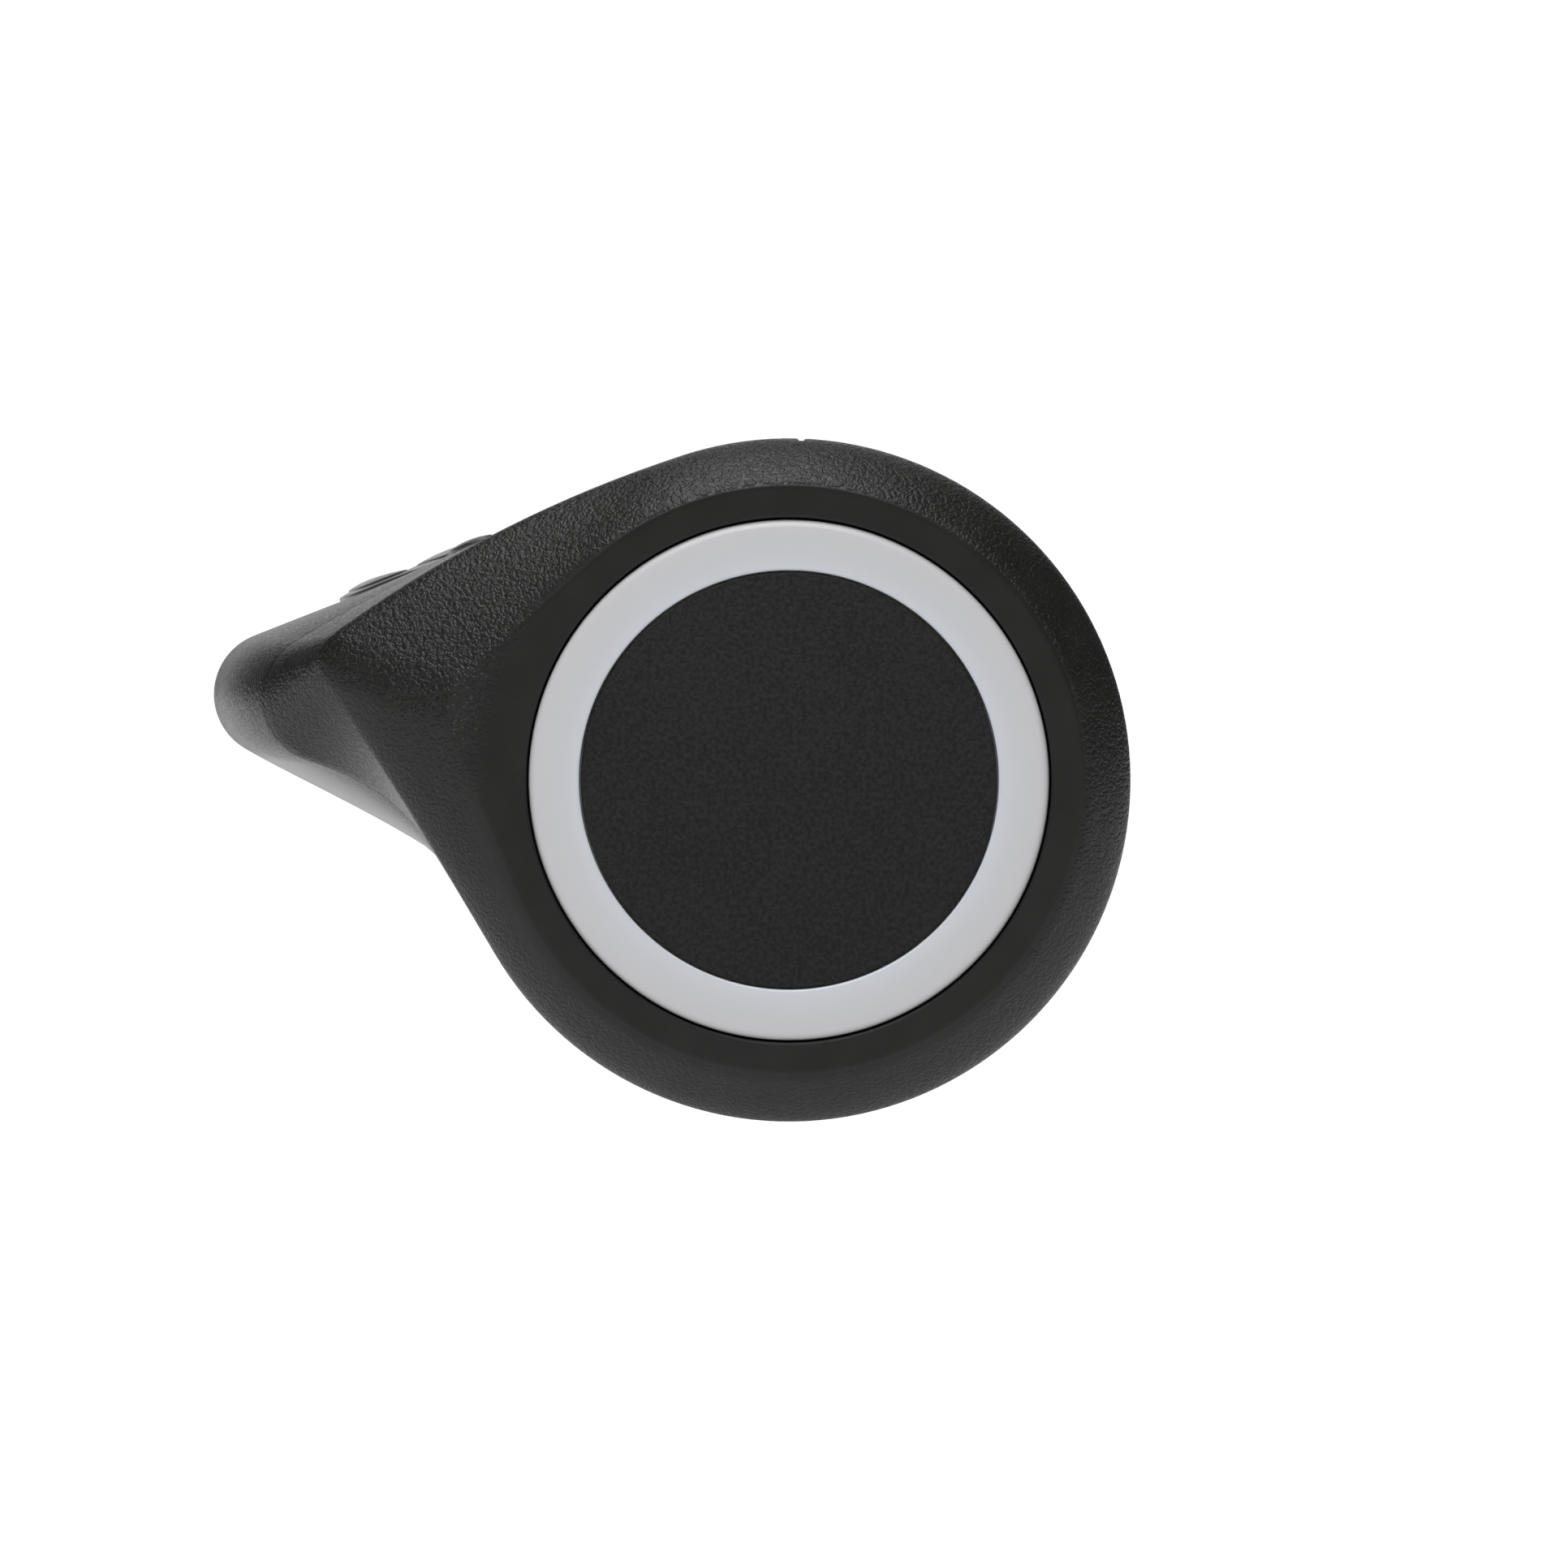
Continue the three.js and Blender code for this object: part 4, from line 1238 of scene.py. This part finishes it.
thread_columns = 48
threads = []
thread_start = under_head - plain_shank
row_count = 150
for row in range(row_count + 1):
    x = lerp(screw_tip, thread_start, row / row_count)
    for column in range(thread_columns):
        angle = column / thread_columns * math.tau
        phase = ((x - screw_tip) / thread_pitch - angle / math.tau) % 1.0
        cut = thread_depth * (1 - abs(2 * phase - 1)) * smooth(thread_start - x, 0, thread_pitch)
        lead = lead_depth * (1 - smooth(x - screw_tip, 0, lead_run))
        radius = screw_radius - max(cut, lead)
        threads.append((x, screw_y + radius * math.cos(angle), screw_z + radius * math.sin(angle)))
head_rows = [
    (screw_radius, thread_start + 0.01 * MM, 0),
    (screw_radius, under_head, 0),
    (head_radius - 0.1 * MM, under_head, 0),
    (head_radius, under_head + 0.1 * MM, 0),
    (head_radius, knurl_start - knurl_fade, 0),
    (head_radius, knurl_start + knurl_fade, 1),
    (head_radius, knurl_end - knurl_fade, 1),
    (head_radius, knurl_end + knurl_fade, 0),
    (head_radius, screw_high.x - head_edge, 0),
    (head_radius - head_edge * 0.3, screw_high.x - head_edge * 0.3, 0),
    (head_radius - head_edge, screw_high.x, 0),
]
head_columns = knurl_count * 4
head_points = []
for radius, x, knurled in head_rows:
    for column in range(head_columns):
        angle = column / head_columns * math.tau
        groove = knurl_depth * knurled * (0.5 + 0.5 * math.cos(angle * knurl_count))
        reach = radius - groove
        head_points.append((x, screw_y + reach * math.cos(angle), screw_z + reach * math.sin(angle)))


shank = mesh_from("shank", threads, capped_rows(thread_columns, row_count + 1))
head = mesh_from("head", head_points, capped_rows(head_columns, len(head_rows)))
socket = along_screw(
    "socket",
    key_across / math.sqrt(3),
    screw_high.x - key_depth,
    screw_high.x + key_depth,
    segments=6,
)
zinc_steel = speckled_material(
    "zinc_steel",
    (0.42, 0.42, 0.425),
    (0.56, 0.555, 0.55),
    grains=3600,
    bump=0.004 * MM,
    roughness=(0.24, 0.38),
    metallic=1.0,
)
screw = joined("collar_screw_m4", head, [socket], "DIFFERENCE")
screw = joined("collar_screw_m4", screw, [shank], "UNION")
soften(screw)
placed("collar_screw_m4", screw, zinc_steel, "zinc_steel", "collar_screw")

# Studio
# A pale floor well below the grip that glows as painted light, a white room for soft light,
# and the camera looking square at the grip's outboard end, as the photograph does.

photo_size = 1932
pixels_per_mm = 22.28
bar_axis_pixel = (972, 961)
camera_distance = 600 * MM
sensor = 36

floor_level = -60 * MM
floor_reach = 6
floor_corners = [(-1, -1), (1, -1), (1, 1), (-1, 1)]
floor_mesh = mesh_from(
    "floor",
    [(x * floor_reach, y * floor_reach, floor_level) for x, y in floor_corners],
    [(0, 1, 2, 3)],
)


def floor_material():
    """Pale matt board with a painted glow. It is dim near the grip, which it lights from below, and white
    away from it, where it fades into the white of the room.
    """
    material, nodes, shader, place = blank_material("pale_floor", 0.1)
    shader.inputs["Roughness"].default_value = 0.9
    # The floor glows though it is no lamp. This is painted light: dim near the grip and bright white far
    # from it.
    shader.inputs["Emission Strength"].default_value = 1.0
    distance = add_node(nodes, "ShaderNodeVectorMath", "LENGTH")
    far = add_node(nodes, "ShaderNodeMapRange", values=[("From Min", 0.1), ("From Max", 0.22)])
    pale = add_ramp(nodes, [(0.0, 0.7), (1.0, 0.0)])
    glow = add_ramp(nodes, [(0.0, 0.4), (1.0, 1.1)])
    link(place, "Object", distance, 0)
    link(distance, "Value", far, "Value")
    link(far, 0, pale, "Fac")
    link(far, 0, glow, "Fac")
    link(pale, "Color", shader, "Base Color")
    link(glow, "Color", shader, "Emission Color")
    return material


new_object("floor", floor_mesh, floor_material())


def white_room():
    """Seen directly the room is white. As a light it is dim, with a bright screen behind the
    grip that is narrower than the room."""
    world = bpy.data.worlds.new("white_room")
    bpy.context.scene.world = world
    world.use_nodes = True
    nodes = world.node_tree.nodes
    nodes.clear()
    way = nodes.new("ShaderNodeTexCoord")
    parts = nodes.new("ShaderNodeSeparateXYZ")
    behind = add_node(nodes, "ShaderNodeMapRange", values=[("From Min", 0.15), ("From Max", 0.85)])
    behind.interpolation_type = "SMOOTHSTEP"
    sideways = add_node(nodes, "ShaderNodeMath", "ABSOLUTE")
    narrow = add_node(nodes, "ShaderNodeMapRange", values=[("From Min", 0.55), ("From Max", 0.15)])
    narrow.interpolation_type = "SMOOTHSTEP"
    screen = add_node(nodes, "ShaderNodeMath", "MULTIPLY")
    tone = add_ramp(nodes, [(0.0, 0.05), (1.0, 1.05)])
    lit = add_node(nodes, "ShaderNodeBackground", values=[("Strength", 1.0)])
    seen_white = [("Color", (1, 1, 1, 1)), ("Strength", 1.05)]
    seen = add_node(nodes, "ShaderNodeBackground", values=seen_white)
    ray = nodes.new("ShaderNodeLightPath")
    mix = nodes.new("ShaderNodeMixShader")
    result = nodes.new("ShaderNodeOutputWorld")
    link(way, "Generated", parts, 0)
    link(parts, "Y", behind, "Value")
    link(parts, "X", sideways, 0)
    link(sideways, 0, narrow, "Value")
    link(behind, 0, screen, 0)
    link(narrow, 0, screen, 1)
    link(screen, 0, tone, "Fac")
    link(tone, "Color", lit, "Color")
    link(ray, "Is Camera Ray", mix, "Fac")
    link(lit, 0, mix, 1)
    link(seen, 0, mix, 2)
    link(mix, 0, result, "Surface")


white_room()


def softbox(name, place, target, width, height, power):
    light = bpy.data.lights.new(name, "AREA")
    light.shape = "RECTANGLE"
    light.size = width
    light.size_y = height
    light.energy = power
    obj = bpy.data.objects.new(name, light)
    bpy.context.scene.collection.objects.link(obj)
    obj.location = place
    obj.rotation_euler = (Vector(target) - Vector(place)).to_track_quat("-Z", "Y").to_euler()


softbox("overhead_softbox", (-0.1, -0.2, 0.8), (0, 0.03, 0), 0.6, 0.6, 6)
softbox("front_softbox", (-0.1, -1.1, 0.95), (0, 0, 0), 0.6, 0.6, 9)

camera_data = bpy.data.cameras.new("camera")
camera_data.sensor_width = sensor
camera_data.sensor_fit = "HORIZONTAL"
frame_width = photo_size / pixels_per_mm * MM
camera_data.lens = sensor * camera_distance / frame_width
camera_data.clip_start = 0.05
camera_data.clip_end = 20
camera = bpy.data.objects.new("camera", camera_data)
bpy.context.scene.collection.objects.link(camera)
off_centre = [(photo_size / 2 - pixel) / pixels_per_mm * MM for pixel in bar_axis_pixel]
camera.location = (off_centre[0], face_y - camera_distance, -off_centre[1])
camera.rotation_euler = (math.pi / 2, 0, 0)
bpy.context.scene.camera = camera

bpy.context.scene.view_settings.view_transform = "Standard"
